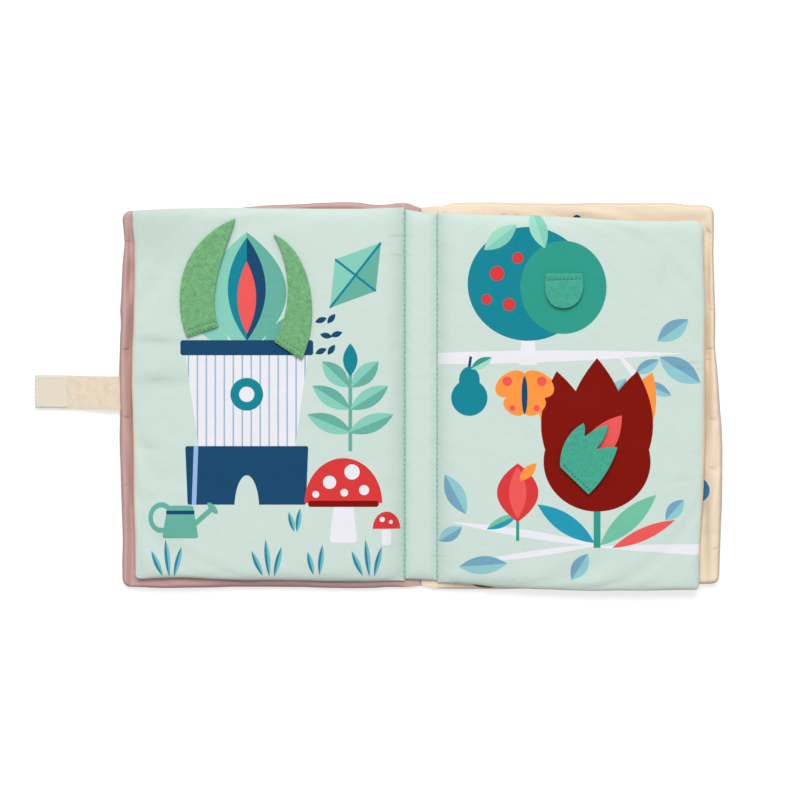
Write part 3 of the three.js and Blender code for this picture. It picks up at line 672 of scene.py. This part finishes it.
for name, tone, leaf, page, finish, folds, seed in (
        ("front_cover", "mauve", front_cover, left_page, mauve_finish, MAUVE_FOLDS, 2.3),
        ("back_cover", "cream", back_cover, right_page, cream_finish, CREAM_FOLDS, 5.9)):
    side = leaf["side"]
    s, upper, lower, inward, within = stuffed(name, leaf, COVER_LEVELS)
    x, y = np.abs(upper[..., 0]) - SEAM, upper[..., 1]
    # the cover swells where it comes out from under the page, most along the page's fore-edge
    beside = x - page["fore"](y)
    past_page = np.maximum(beside, np.maximum(y - page["head"](x), page["tail"](x) - y))
    top, floor = upper[..., 2], lower[..., 2]
    at_side = smooth((beside + 1.5) / 1.5) * smooth((100 - y) / 8)
    bulge = (0.3 + (y > 0) + 1.3 * at_side) * smooth(past_page / (3.4 + 4.6 * at_side))
    bulge = bulge * smooth(s / 30) - 2.3 * at_side * np.exp(-((beside - 1.2) / 2.3) ** 2)
    folded = top + (ripples(upper, seed, 0.5) + straight_folds(upper, folds)) * inward
    top[:] = np.where(past_page > 0.1, folded + bulge * within, np.minimum(folded, UNDER_PAGE))
    floor[:] = np.maximum(floor + (ripples(lower, seed + 8, 0.5) + 0.2) * inward, 0.05)
    top[:] = np.maximum(top, floor + LEAST_GAP)
    inside = strip_rows(upper, [side * x for x in (0.15, 3, 6, 8.2)], lambda x: 2.4)
    outside = strip_rows(lower, [side * x for x in (6, 7.4, 8.6)], spine_floor)
    bodies, bend = ("spine", name), (side * 0.007, side * 0.0135)
    leaf_cloth(f"{name}_inside_{tone}_cloth", inside, finish, side,
               (f"{name}_inside_{tone}", f"spine_lining_{tone}"))
    leaf_cloth(f"{name}_outside_cloth", outside, outside_finish, -side,
               (f"{name}_outside",))

# The strip of the outside cloth at the spine, which the book stands on when it is closed. It lies
# flat on the table between the two covers.
base_y = ladder(SPINE_TAIL, SPINE_HEAD, 4.2, EDGE_STEPS[:4], EDGE_STEPS[:4])
base = np.array([[(x, y, spine_floor(x)) for y in base_y] for x in np.linspace(-5.95, 5.95, 9)])
spine_cloth("spine_outer_strip", base, outside_finish, -1, "spine_outer_cloth")

# The page sheet: a mint printed face and a plain cream underside, sewn together all round, turned
# out and filled. It runs from page to page over the spine, where two rows of stitches hold it.
PAGE_LEVELS = {"seam": (2.75, 4.25), "full": (6.35, 11.0), "rise": (10, 14), "edge": 7.0}
PAGE_TOP, PAGE_FLOOR = 11.2, 6.3
LEFT_FOLDS = [
    (-170, 27, -136, 22, 0.9, 4.4), (-170, 12, -138, 14, -0.8, 3.8),
    (-170, -12, -138, -8, 0.9, 4.4), (-170, -27, -146, -31, -0.8, 3.6),
    (-170, 68, -148, 74, 0.6, 5), (-22, 92.5, -8, 93, -0.7, 0.9),
    (-20, 82.5, -8, 81.5, -0.5, 0.9), (-170, -66, -150, -70, 0.4, 4),
    (-172, -40, -92, -62, -0.45, 7), (-58, 104, -30, 40, 0.4, 8),
    (-30, 30, -14, -80, -0.4, 5), (-120, -104, -40, -72, 0.45, 9),
    (-170, 20, -138, 8, 0.4, 6),
]
RIGHT_FOLDS = [
    (134, 15, 166, 14, -0.6, 1.5), (140, 20, 166, 21, 0.45, 3.5),
    (134, 2, 166, 5, 0.35, 4), (130, -52, 166, -48, 0.4, 4),
    (12, 84, 70, 100, 0.4, 7), (14, 20, 150, -2, -0.4, 9),
    (16, -30, 60, -98, 0.45, 8), (112, -60, 162, -100, 0.4, 8),
    (106, 94, 160, 44, -0.35, 8),
]
SEA_GREEN, DEEP_SEA, TEAL, NAVY = (131, 201, 182), (100, 172, 156), (16, 130, 146), (20, 70, 106)
RED, DARK_RED, ROSE, ORANGE = (214, 56, 56), (127, 12, 0), (234, 88, 86), (250, 148, 62)
PALE, WHITE, SLATE, MIST = (156, 214, 190), (232, 230, 236), (114, 162, 186), (140, 196, 202)
JADE, OCEAN, SAGE, LILAC = (46, 152, 134), (34, 150, 176), (112, 190, 158), (150, 178, 224)
GREENS, BLADES = (SEA_GREEN, DEEP_SEA), ((44, 128, 148), (112, 184, 196))
# Pressed folds of the pages and the spine strip, each with painted shade in the cloth's colour; the broad
# field at the top left of the left page is painted shade over that corner.
LEFT_PRESSED_SHADE = [
    (-14, 92.6, 8, 1.7, 3, 0.75), (-13.5, 81.6, 7, 2.0, -5, 0.7), (-13, 64, 5, 1.6, 6, 0.4),
    (-13, 20, 5, 1.6, -4, 0.35), (-13, -28, 5, 1.6, 5, 0.35), (-13, -86, 6, 1.8, -6, 0.45),
    (-153, 32, 34, 5.4, -3, 0.85), (-152, 9.5, 38, 8.0, 2, 0.95), (-157, -30, 13, 3.6, -6, 0.65),
    (-155, 68, 13, 5.0, 8, 0.5), (-156, 98, 64, 44, 0, 0.8), (-156, -58, 12, 4.0, 10, 0.5),
    (-120, -103, 18, 2.6, 3, 0.5),
]
RIGHT_PRESSED_SHADE = [
    (13, -93.5, 6, 1.4, 4, 0.6), (13, 88, 5, 1.6, 5, 0.35), (13, 40, 5, 1.6, -5, 0.35),
    (13, -20, 5, 1.6, 4, 0.35), (150, 15.5, 18, 3.0, -4, 0.95), (158, 19, 9, 2.4, 8, 0.75),
    (152, -48, 16, 4.2, 8, 0.5), (140, 72, 18, 6.0, 70, 0.45), (34, 97, 20, 3.6, 30, 0.4),
    (60, -106, 20, 2.0, -3, 0.35), (120, -108, 18, 2.0, 1, 0.35),
]
STRIP_PRESSED_SHADE = [
    (-6.4, 92.6, 4, 1.5, -3, 0.6), (-6.6, 81.6, 4, 1.6, 4, 0.5), (6.6, 88, 4, 1.4, -5, 0.35),
    (6.6, -93.5, 4, 1.4, 3, 0.5), (-6.6, 20, 3, 1.4, 5, 0.3), (-6.4, -86, 4, 1.5, 6, 0.4),
]


def garden_print():
    """A bud in a striped pot on a dark stand, with a kite, a sprig, toadstools, a can and grass."""
    page = Cloth("mint_print_left", MINT, LEFT_PRESSED_SHADE)
    leaves, ovals, blocks = page.leaves, page.ovals, page.blocks
    # kite and the bows of its tail
    leaves(GREENS, (-38, 70, 24, 15, 52), straight=True)
    blocks(TEAL, (-38, 70, 0.7, 24, -38), (-38, 70, 0.7, 15, 52))
    for x, y, turn in ((-55, 44, 20), (-52, 35, -12), (-55, 26, 24)):
        leaves(NAVY, (x - 3, y, 3.6, 1.7, turn), (x + 3, y + 0.8, 3.6, 1.7, turn + 30))
    # bud above the pot
    blocks(DEEP_SEA, (-101, 32, 2.4, 14))
    leaves(GREENS, (-101, 60, 35, 23, 90))
    leaves((TEAL, NAVY), (-101, 62, 30, 11, 90))
    leaves(ROSE, (-101, 57, 21, 5.4, 90))
    leaves(SEA_GREEN, (-123, 40, 17, 5.5, -42))
    leaves(DEEP_SEA, (-80, 38, 17, 5.5, 40))
    # pot and stand
    across = page.parts(page.local(-101, 0))[0]
    stripes = page.mix(across.math("PINGPONG", 2.6).ramp(4.0, -8.1), linear(*WHITE), linear(152, 182, 204))
    blocks(stripes, (-101, -1, 32, 29), taper=0.14)
    blocks(NAVY, (-101, 28, 38.5, 4.4), round_by=1.6)
    blocks(NAVY, (-101, -46, 35, 17), taper=0.04, round_by=1.2)
    ovals(page.ground, (-101, -66, 7.2, 20))
    blocks(LILAC, (-131, -46, 1.3, 17, -2))
    ovals(TEAL, (-101, 1, 9.5))
    ovals(WHITE, (-101, 1, 4.4))
    # can
    page.ring(DEEP_SEA, -150.5, -70.5, 6.2, 7.4, 2.6)
    blocks(DEEP_SEA, (-139.5, -73, 9, 9.5), taper=-0.16, round_by=1.6)
    blocks(DEEP_SEA, (-127, -70.5, 7.5, 1.5, 42))
    ovals(DEEP_SEA, (-120.8, -65, 1.8, 4.2, 42))
    blocks(NAVY, (-139.5, -67.5, 8.2, 1.1))
    # sprig
    blocks(DEEP_SEA, (-41, -8, 1.1, 24))
    leaves(GREENS, (-53, -16, 14, 5.2, 158), (-29, -16, 14, 5.2, 22), (-52, -1, 13, 5.2, 148),
           (-30, -1, 13, 5.2, 32), (-49.5, 12.5, 11, 5.2, 136), (-32.5, 12.5, 11, 5.2, 44))
    leaves(TEAL, (-41, 21, 9.5, 4.2, 90))
    # toadstools
    blocks(WHITE, (-45, -70, 6.4, 15), taper=-0.12, round_by=2.5)
    ovals(RED, (-45, -62, 22.5, 26), cut=0.0)
    blocks(DARK_RED, (-45, -62.5, 20.5, 1.8), round_by=1.6)
    ovals(WHITE, (-53, -50, 3.8), (-40, -44, 4.4), (-33, -54.5, 2.9), (-44.5, -56, 2.2), (-61, -57, 2))
    blocks(WHITE, (-20, -80, 2.6, 6.5), round_by=1.2)
    ovals(RED, (-20, -77, 8, 10), cut=0.0)
    ovals(WHITE, (-22.5, -71.5, 1.5), (-17.5, -73, 1.1))
    # grass
    leaves(BLADES, (-64, -97, 7, 1.6, 104), (-58, -95, 9, 1.6, 84), (-75, -73, 6, 1.6, 106),
           (-71, -72, 7, 1.6, 82))
    page.repeat(-176, -118)
    leaves(BLADES, (-153, -97, 8, 1.6, 114), (-147, -94, 11, 1.6, 96), (-141, -96, 9, 1.6, 76))
    page.at = page.place()
    page.wrap_edge(9.9, 165.6, 0.0, 88)
    return page.done()


def orchard_print():
    """A round tree on a bough, a butterfly, and a large tulip among leaves and buds."""
    page = Cloth("mint_print_right", MINT, RIGHT_PRESSED_SHADE)
    leaves, ovals, blocks = page.leaves, page.ovals, page.blocks
    # boughs
    leaves(WHITE, (46, 22.5, 106, 3.6, 1.2), (124, 12, 19, 1.7, -52), (200, -90, 104, 3.6, -1.5),
           (62, -80, 46, 2.2, -9), (68, -91, 38, 1.8, 8))
    # round tree in two halves, with fruit
    blocks(WHITE, (62, 30, 4, 12), taper=-0.1)
    ovals(TEAL, (62, 65, 35, 33))
    ovals(JADE, (82.5, 63, 25, 27))
    leaves((PALE, SEA_GREEN), (46, 92, 12, 5, 38), (68, 97, 12, 5, 108))
    ovals(RED, (44, 71, 4.2), (51, 53, 3.6), (38, 56, 3), (56, 80, 3.2))
    ovals(NAVY, (82.8, 60.5, 6.2))
    ovals(WHITE, (82.8, 60.5, 3.2))
    # pear under the bough
    blocks(NAVY, (28, 17, 0.8, 6, -8))
    ovals(TEAL, (28, 9, 6, 8), (28, -1, 10.5))
    leaves((JADE, PALE), (35, 19, 7, 3, 28))
    # leaves on the boughs
    leaves((SLATE, MIST), (146, 38, 11, 5.4, 35), (150, 15, 14, 6.4, -32), (131, 17, 8, 3.6, 30),
           (113, 3, 9, 4.2, 230), (126, -3, 8, 3.2, 262), (137, 4, 9, 3.6, -26), (20, -57, 13, 5.4, 118),
           (17, -80, 8, 4, 212), (36, -98, 14, 5.2, 4), (92, -99, 9, 4.6, 58), (147, -66, 8, 4.2, 48))
    # tulip
    blocks(JADE, (102, -76, 2.0, 12))
    leaves(OCEAN, (84, -74, 20, 5.4, 146))
    leaves(SAGE, (120, -72, 22, 5.8, 42))
    leaves(ROSE, (129, -80, 20, 3.6, 24))
    leaves(ORANGE, (81, -14, 30, 11, 112), (123, -14, 30, 11, 68))
    ovals(DARK_RED, (102, -38, 31, 29))
    leaves(DARK_RED, (85, -22, 37, 15, 100), (119, -22, 37, 15, 80), (102, -18, 40, 17, 90))
    leaves(ROSE, (104, -27, 20, 8, 52))
    # butterfly
    ovals(ORANGE, (52, 7, 10, 6.6, 35), (68, 7, 10, 6.6, 145), (54, -6, 7, 4.62, -35),
          (66, -6, 7, 4.62, -145), (60, 0.5, 8, 6))
    ovals(ROSE, (50, 8.5, 2.8), (70, 8.5, 2.8), (53, -7, 1.8), (67, -7, 1.8))
    ovals(NAVY, (60, 0.5, 1.7, 11))
    # bud
    blocks(JADE, (56, -74, 0.9, 10))
    leaves((OCEAN, SAGE), (47, -73, 10, 3, 205))
    leaves(RED, (56, -56, 17, 12, 90))
    leaves(ROSE, (56, -56, 15, 5.0, 90))
    leaves(ORANGE, (62, -44, 7, 3.0, 46))
    page.wrap_edge(10.3, 163.1, 0.0155, 45)
    return page.done()


mint_plain = Cloth("mint_polyester", MINT, STRIP_PRESSED_SHADE)
# painted shade along the two stitch lines
mint_plain.paint_seam_shade()
mint_plain.done()
underside_finish = Cloth("cream_underside", linear(236, 218, 192)).done()

for name, cover, leaf, print_finish, folds, seed in (
        ("left", "front_cover", left_page, garden_print(), LEFT_FOLDS, 1.4),
        ("right", "back_cover", right_page, orchard_print(), RIGHT_FOLDS, 7.7)):
    side = leaf["side"]
    s, upper, lower, inward, _ = stuffed(name + "_page", leaf, PAGE_LEVELS)
    top, floor = upper[..., 2], lower[..., 2]
    top += (ripples(upper, seed, 0.55) + straight_folds(upper, folds)) * inward
    top += puckers(upper, side)
    # the top levels off softly below the felt flaps
    top[:] = PAGE_TOP - np.log1p(np.exp((PAGE_TOP - top) * 4)) / 4
    floor += (ripples(lower, seed + 6, 0.45) + 0.3) * inward
    floor[:] = np.where(s > 14, np.maximum(floor, PAGE_FLOOR), floor)
    top[:] = np.maximum(top, floor + LEAST_GAP)
    bodies, bend = (cover, f"{name}_page"), (side * 0.0112, side * 0.029)
    for face, tone, finish, facing, slot in ((upper, "mint", print_finish, side, "mint_print"),
                                             (lower, "underside", underside_finish, -side, "cream_cloth")):
        leaf_cloth(f"{name}_page_{tone}_cloth", face, finish, facing,
                   (f"{name}_page_{tone}", f"{name}_gutter_{tone}"))

# Between the stitch lines the page sheet is a narrow padded strip that lies on the spine. The two
# rows of stitches hold it down on both sides.
STRIP_HEAD, STRIP_TAIL, STRIP_HALF = 107.1, -106.7, 9.35
strip_x = np.linspace(-STRIP_HALF, STRIP_HALF, 15)
strip_y = ladder(STRIP_TAIL, STRIP_HEAD, 2.2)


def strip_point(x, y, z):
    """The strip's head and tail slope from the left page's ends to the right page's."""
    return x, y + at_ends((y - STRIP_TAIL) / (STRIP_HEAD - STRIP_TAIL), -0.05 * x, -0.16 * x), z


def strip_height(x, y):
    full = roll(min(y - STRIP_TAIL, STRIP_HEAD - y))
    return 4.25 + 2.4 * (1 - (x / STRIP_HALF) ** 2) * full - 0.5 * (1 - full)


strip_top = np.array([[strip_point(x, y, strip_height(x, y)) for y in strip_y] for x in strip_x])
strip_top[..., 2] += 0.75 * puckers(strip_top, 0.4, spread=4.0)
strip_low = np.array([[strip_point(x, y, 2.75) for y in strip_y] for x in strip_x])
spine_cloth("spine_mint_strip", strip_top, mint_plain, 1, "page_spine_mint")
spine_cloth("spine_underside_strip", strip_low, underside_finish, -1, "page_spine_underside")

# Two rows of lockstitch run from head to tail beside the spine. The green thread sinks into the
# padding at each needle hole.
def stitch_row(name, points, finish, length, thickness, body, sink=0.35):
    """A row of stitches, one between each two points of a line, modelled once and copied along it."""
    select_only()
    bpy.ops.mesh.primitive_cylinder_add(vertices=8, radius=thickness / 2 * MM, depth=length * MM,
                                        end_fill_type="TRIFAN")
    stitch = bpy.context.object
    with editing(stitch):
        bpy.ops.mesh.subdivide(number_cuts=2)
    shape = points_of(stitch)
    corners = [list(face.vertices) for face in stitch.data.polygons]
    bpy.data.objects.remove(stitch)
    reach = np.abs(shape[:, 2:]) / (length * MM / 2)
    shape[:, :2] *= np.sqrt(np.maximum(0, 1 - 0.85 * reach ** 3))
    shape[:, 1:2] -= sink * MM * reach ** 2
    vertices, faces = [], []
    for place, after in zip(np.array(points[:-1]), np.array(points[1:])):
        along = (after - place) / np.linalg.norm(after - place)
        across = np.cross(along, (0, 0, 1))
        across /= np.linalg.norm(across)
        faces += [[len(vertices) + corner for corner in face] for face in corners]
        vertices += (shape @ [across, np.cross(across, along), along] + (place + after) / 2 * MM).tolist()
    mesh = bpy.data.meshes.new(name)
    mesh.from_pydata(vertices, [], faces)
    row = bpy.data.objects.new(name, mesh)
    bpy.context.collection.objects.link(row)
    dress(row, finish)
    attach(row, body)
    return row


def thread_finish(name, color):
    """Spun polyester thread: a fine twist along it and a soft shine."""
    finish = Finish(name, Roughness=0.5, Sheen_Weight=0.2)
    sockets = {"Vector": finish.place(), "Scale": 900.0, "Distortion": 0.5}
    twist = finish.node("TexWave", sockets, bands_direction="DIAGONAL")
    finish.wear(finish.mix(twist * 0.35, color, tinted(color, 0.6)))
    finish.relief(twist * 0.00004)
    return finish


SEAM_HEIGHT, SEAM_STITCH = 4.45, 3.1
green_thread = thread_finish("seam_thread_green", linear(160, 212, 193))
for name, side in (("left", -1), ("right", 1)):
    line = [(side * SEAM, y, SEAM_HEIGHT) for y in np.arange(-105.5, 106.5 - 0.9 * side, SEAM_STITCH)]
    row = stitch_row(f"seam_stitches_{name}", line, green_thread, 2.6, 0.6, "spine")
    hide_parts(f"seam_thread_{name}")
tail_line = [(-10.1, 106.2, 5.6), (-10.6, 108.3, 5.6), (-10.2, 110.3, 4.4), (-10.7, 111.6, 3.2)]
white_thread = thread_finish("white_thread_end", linear(240, 238, 236))
stitch_row("seam_thread_end", tail_line, white_thread, 2.4, 0.4, "front_cover", sink=0.1)

# Four flaps cut from craft felt, two light green and two emerald. Each is sewn to its page along
# one edge.
FELT_BOTTOM, FELT_TOP = 11.3, 13.3
FIBRES, FELT_STITCH = 1500, 2.3


def curve(start, *parts):
    """Points of an outline through quadratic and cubic curves, in the flap's own directions."""
    points, at = [np.array(start, float)], np.array(start, float)
    for part in parts:
        controls = [at] + [np.array(p, float) for p in part]
        for t in np.linspace(0, 1, 15)[1:]:
            level = controls
            while len(level) > 1:
                level = [a * (1 - t) + b * t for a, b in zip(level, level[1:])]
            points.append(level[0])
        at = controls[-1]
    return points


OUTER_LEAF_CURVE = curve((-9.3, -3.3), [(-18, 20), (-15, 52), (19, 66)], [(15, 50), (1, 24), (9.2, 3.2)])
INNER_LEAF_CURVE = curve((8, -5.2), [(19, 18), (15, 58), (-9, 68)], [(2, 50), (3, 24), (-8, 5.2)])
ROUND_CURVE = curve((-10.3, 0), [(-13.2, 9), (-10, 20.3), (0.5, 20.3)], [(10.6, 20.3), (12.4, 10), (10.3, 0)])
SEPAL_CURVE = curve((-11.4, 0), [(-18.5, 6), (-23, 17), (-19.5, 28)], [(-15, 25.5), (-13.6, 21.5)],
                    [(-13, 31), (-8.5, 37)], [(-3.4, 30), (-4, 20.8)], [(-1, 27), (4.4, 31.5)],
                    [(9.5, 22), (12, 10), (11.4, 0)])


def felt_finish(name, color, contrast, turns):
    """Pressed wool felt: short fibres in two tones, with no sheen."""
    finish = Finish(name, Roughness=0.95, Sheen_Weight=0.25, Sheen_Roughness=0.6, Specular_IOR_Level=0.15)
    clumps = finish.noise(finish.place(), 300, 4, 0.65)
    strands = [finish.noise(finish.along(finish.place(), turn, (1.0, 5.0, 1.0)), FIBRES) for turn in turns]
    hairs = strands[0].math("MAXIMUM", strands[1]).math("MAXIMUM", strands[2])
    tone = (clumps * 0.6 + hairs * 0.9 - 0.83).ramp(contrast, 0.5)
    finish.wear(finish.mix(tone, tinted(color, 0.68), tinted(color, 1.34, 0.008)))
    finish.relief(clumps * 0.0002 + hairs * 0.0004)
    return finish


def round_edges(piece, width):
    bevel = piece.modifiers.new("cut_edge", "BEVEL")
    bevel.width, bevel.segments = width * MM, 2
    bevel.limit_method, bevel.angle_limit = "ANGLE", math.radians(60)


leaf_green = felt_finish("leaf_green_felt", linear(110, 170, 115), 2.0, (62, 118, 20))
emerald = felt_finish("emerald_felt", linear(60, 163, 137), 1.3, (8, 66, 128))
dark_thread = thread_finish("felt_stitch_thread", linear(70, 132, 86))
deep_thread = thread_finish("emerald_stitch_thread", linear(24, 96, 74))
FLAPS = [
    ("felt_leaf_outer", OUTER_LEAF_CURVE, -126.4, 37.1, 0, 7.1,
     [(-8.7, -2.1, 8.2, 3.9), (-9.1, 0.6, 7.6, 6.5)]),
    ("felt_leaf_inner", INNER_LEAF_CURVE, -77, 26.1, 0, 9.4,
     [(-6.9, 5.7, 7.7, -3.8), (-5.6, 7.9, 8.5, -1.3)]),
    ("felt_round_flap", ROUND_CURVE, 82.8, 71, 180, 4.4, [(-10.2, 3.1, 10.2, 3.9)]),
    ("felt_sepal", SEPAL_CURVE, 88.8, -49.2, -44.1, 3.2, [(-11.6, 2.1, 10.8, 2.1)]),
]
for name, outline, x, y, turn, fold, seams in FLAPS:
    page, finish, thread, slot = (("left_page", leaf_green, dark_thread, "felt_leaf_green") if x < 0 else
                                  ("right_page", emerald, deep_thread, "felt_emerald"))
    cos, sin = math.cos(math.radians(turn)), math.sin(math.radians(turn))
    turned, middle = np.array([[cos, -sin], [sin, cos]]), np.array([x, y])
    select_only()
    bpy.ops.mesh.primitive_circle_add(vertices=len(outline), radius=0.01, fill_type="NGON")
    flap = bpy.context.object
    flap.name = flap.data.name = name + "_piece"
    ring = [turned @ point + middle for point in outline]
    area = sum(a[0] * b[1] - b[0] * a[1] for a, b in zip(ring, ring[1:] + ring[:1])) / 2
    put_points(flap, np.array([(*point, FELT_BOTTOM) for point in (ring if area > 0 else ring[::-1])]))
    up = (0, 0, (FELT_TOP - FELT_BOTTOM) * MM)
    with editing(flap):
        bpy.ops.mesh.extrude_region_move(TRANSFORM_OT_translate={"value": up})
        bpy.ops.mesh.select_all(action="SELECT")
        bpy.ops.mesh.normals_make_consistent(inside=False)
    round_edges(flap, 0.45)
    felt = flap.modifiers.new("felt_body", "REMESH")
    felt.mode, felt.voxel_size = "VOXEL", 0.55 * MM
    apply_modifiers(flap)
    places = points_of(flap) / MM
    local = (places[:, :2] - middle) @ turned
    # the stitches press into the top, the cut edge is a little rough, and the free part bows up
    for seam in seams:
        _, off = by_line(local[:, 0], local[:, 1], *seam)
        places[:, 2] -= 0.4 * np.exp(-(off / 0.8) ** 2) * (places[:, 2] > 12.3)
    rough = [noise.noise(Vector(p) * 0.9) + 0.6 * noise.noise(Vector(p) * 2.3) for p in places]
    places[:, :2] += (np.array(rough) * 0.12)[:, None]
    wave = np.array([noise.noise(Vector((p[0] / 22, p[1] / 22, 3.3))) for p in places])
    places[:, 2] += smooth((local[:, 1] - fold) / 30) * (0.25 + 0.35 * wave)
    put_points(flap, places)
    dress(flap, finish)
    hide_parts(name, name + "_sewn_end")
    abs(area) * MM * MM
    page + "_mint_cloth"
    start, end = [(*((middle + turned @ (0, fold + past)) * MM), 0.0125) for past in (-0.8, 4.5)]
    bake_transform(flap)
    for number, (start, end) in enumerate(np.reshape(seams, (-1, 2, 2))):
        count = round(np.linalg.norm(end - start) / FELT_STITCH)
        line = []
        for step in range(count + 1):
            at = start + (end - start) * step / count + (0, 0.15 * math.sin(step * 2.9))
            line.append((*(turned @ at + middle), FELT_TOP - 0.22))
        stitch_row(f"{name}_stitches_{number + 1}", line, thread, 2.0, 0.45, page)

# The closure tape is natural cotton webbing in a herringbone weave. It is sewn into the front
# cover's fore-edge and carries a square of hook tape at its free end.
TAPE_Y, TAPE_HALF, TAPE_THICKNESS = 2.0, 9.5, 1.1
HINGE, FOLD, TAPE_END = -176.0, -201.4, -224.6
TWILL, HOOK_ROWS = 3900.0, 5200.0


def tape_drift(x):
    """The tape isn't sewn in quite square, so its free end lies a little nearer to the head."""
    return 0.9 * smooth((HINGE - x) / 48) - 0.25


def webbing_finish(name, color):
    """Cotton in a herringbone twill, with the slubs of its yarn."""
    finish = Finish(name, Roughness=0.85, Sheen_Weight=0.2, Specular_IOR_Level=0.2)
    x, y, _ = finish.parts(finish.place())
    twill = ((x + (y + 0.05).math("PINGPONG", 0.0019)) * TWILL).math("SINE")
    slubs = finish.noise(finish.place(), 260, 3)
    shade = (twill * 0.08 + slubs * 0.9).ramp(1.0, -0.05)
    finish.wear(finish.mix(shade, tinted(color, 0.8), tinted(color, 1.12)))
    finish.relief(twill * 0.00007 + slubs * 0.00008)
    return finish


def webbing(name, line, finish):
    """A length of webbing along a line of (x, z) places of its top face, with soft edges."""
    across = np.array([-1, -0.94, -0.5, 0, 0.5, 0.94, 1]) * TAPE_HALF
    places = np.array([[(x, TAPE_Y + tape_drift(x) + a, z - (0.12 if abs(a) > 9.4 else 0)) for a in across]
                       for x, z in line])
    piece = sheet(name, places, finish, TAPE_THICKNESS)
    bpy.ops.object.shade_smooth_by_angle(angle=math.radians(40))
    return piece


tape_finish = webbing_finish("herringbone_cotton", linear(236, 219, 195))
side_line = [(x, 3.6 - 2.3 * smooth((HINGE - x) / (HINGE - FOLD))) for x in np.linspace(-166.5, FOLD, 22)]
tape_side = webbing("closure_tape_cloth", side_line, tape_finish)
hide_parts("closure_tape_side", "closure_tape_sewn_end")
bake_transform(tape_side)
end_line = [(x, 1.3) for x in np.linspace(FOLD, TAPE_END, 16)]
tape_end = webbing("closure_tape_end_cloth", end_line, tape_finish)
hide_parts("closure_tape_end")
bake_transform(tape_end)

# Two squares of nylon fastening tape keep the closed book shut: hooks, stitched to the free end of
# the closure tape, and a pile of loops on the outside of the back cover.
def hook_finish(name, color):
    """Fastening tape: a dense field of small nylon hooks or loops in rows."""
    finish = Finish(name, Roughness=0.55)
    x, y, _ = finish.parts(finish.place())
    rows = (x * HOOK_ROWS).math("SINE") * (y * HOOK_ROWS).math("SINE")
    hooks = rows * 0.25 + finish.noise(finish.place(), 750, 3) * 1.2
    finish.wear(finish.mix(hooks.ramp(0.8, -0.1), tinted(color, 0.8), color))
    finish.relief(hooks * 0.00012)
    return finish


def patch(name, low, high, finish, body):
    """A square of fastening tape with rounded corners, cut from a strip, between two corners."""
    select_only()
    bpy.ops.mesh.primitive_cube_add(size=1, location=(0, 0, 0))
    piece = bpy.context.object
    piece.name = piece.data.name = name + "_piece"
    put_points(piece, np.where(points_of(piece) < 0, low, high))
    with editing(piece):
        bpy.ops.mesh.subdivide(number_cuts=14)
    round_edges(piece, 0.35)
    apply_modifiers(piece)
    places = points_of(piece) / MM
    places[:, 1] += np.where(places[:, 0] < HINGE, tape_drift(places[:, 0]), 0)
    put_points(piece, places)
    dress(piece, finish)
    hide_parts(name)
    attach(piece, body)


hook_low, hook_high = (TAPE_END + 0.5, TAPE_Y - 9.1, 1.5), (TAPE_END + 19, TAPE_Y + 9.1, 2.7)
hooks = hook_finish("hook_tape", linear(235, 225, 203))
loops = hook_finish("loop_pile", linear(236, 228, 212))
patch("hook_patch", hook_low, hook_high, hooks, "tape_end")
LEFT_X, RIGHT_X, LOW_Y, HIGH_Y, ZIGZAG = TAPE_END + 1.6, TAPE_END + 17.9, -6.1, 10.1, 1.1
box = [(LEFT_X, LOW_Y), (RIGHT_X, LOW_Y), (RIGHT_X, HIGH_Y), (LEFT_X, HIGH_Y), (LEFT_X, LOW_Y)]
around = []
for (x0, y0), (x1, y1) in zip(box, box[1:]):
    zigzag = x0 == x1 == RIGHT_X
    steps = 12 if zigzag else 7
    for i in range(steps):
        x = x0 + (x1 - x0) * i / steps + (ZIGZAG * (-1) ** i if zigzag else 0)
        around.append((x, y0 + (y1 - y0) * i / steps + tape_drift(x), 2.8))
pale_thread = thread_finish("pale_cotton_thread", linear(246, 240, 227))
stitch_row("hook_patch_stitches", around + around[:1], pale_thread, 2.0, 0.6, "tape_end", sink=0.2)
patch("loop_patch", (148.8, -10.0, 0.02), (166.4, 14.0, 0.92), loops, "back_cover")

# Inside each leaf lie a sheet of crinkle film and a layer of polyester wadding, which the cloth
# hides. They are sewn into its seams, and keep the frame's own shapes.
def inner_finish(name, dark, light, tones, bumps, depth, **sockets):
    finish = Finish(name, **sockets)
    place = finish.node("TexCoord", out="Object")
    finish.wear(finish.mix(finish.noise(place, *tones), linear(*dark), linear(*light)))
    finish.relief(finish.noise(place, *bumps) * depth)
    return finish.owner


film = inner_finish("crinkle_film", (214, 222, 228), (240, 244, 246), (120, 3), (180, 4), 0.0006,
                    Roughness=0.18)
wadding = inner_finish("polyester_wadding", (228, 228, 224), (250, 250, 247), (300, 5), (300, 5), 0.0008,
                       Roughness=1.0, Sheen_Weight=0.4)
for name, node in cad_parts.items():
    if not node.hide_render:
        for slot in node.material_slots:
            slot.material = film if "film" in name else wadding
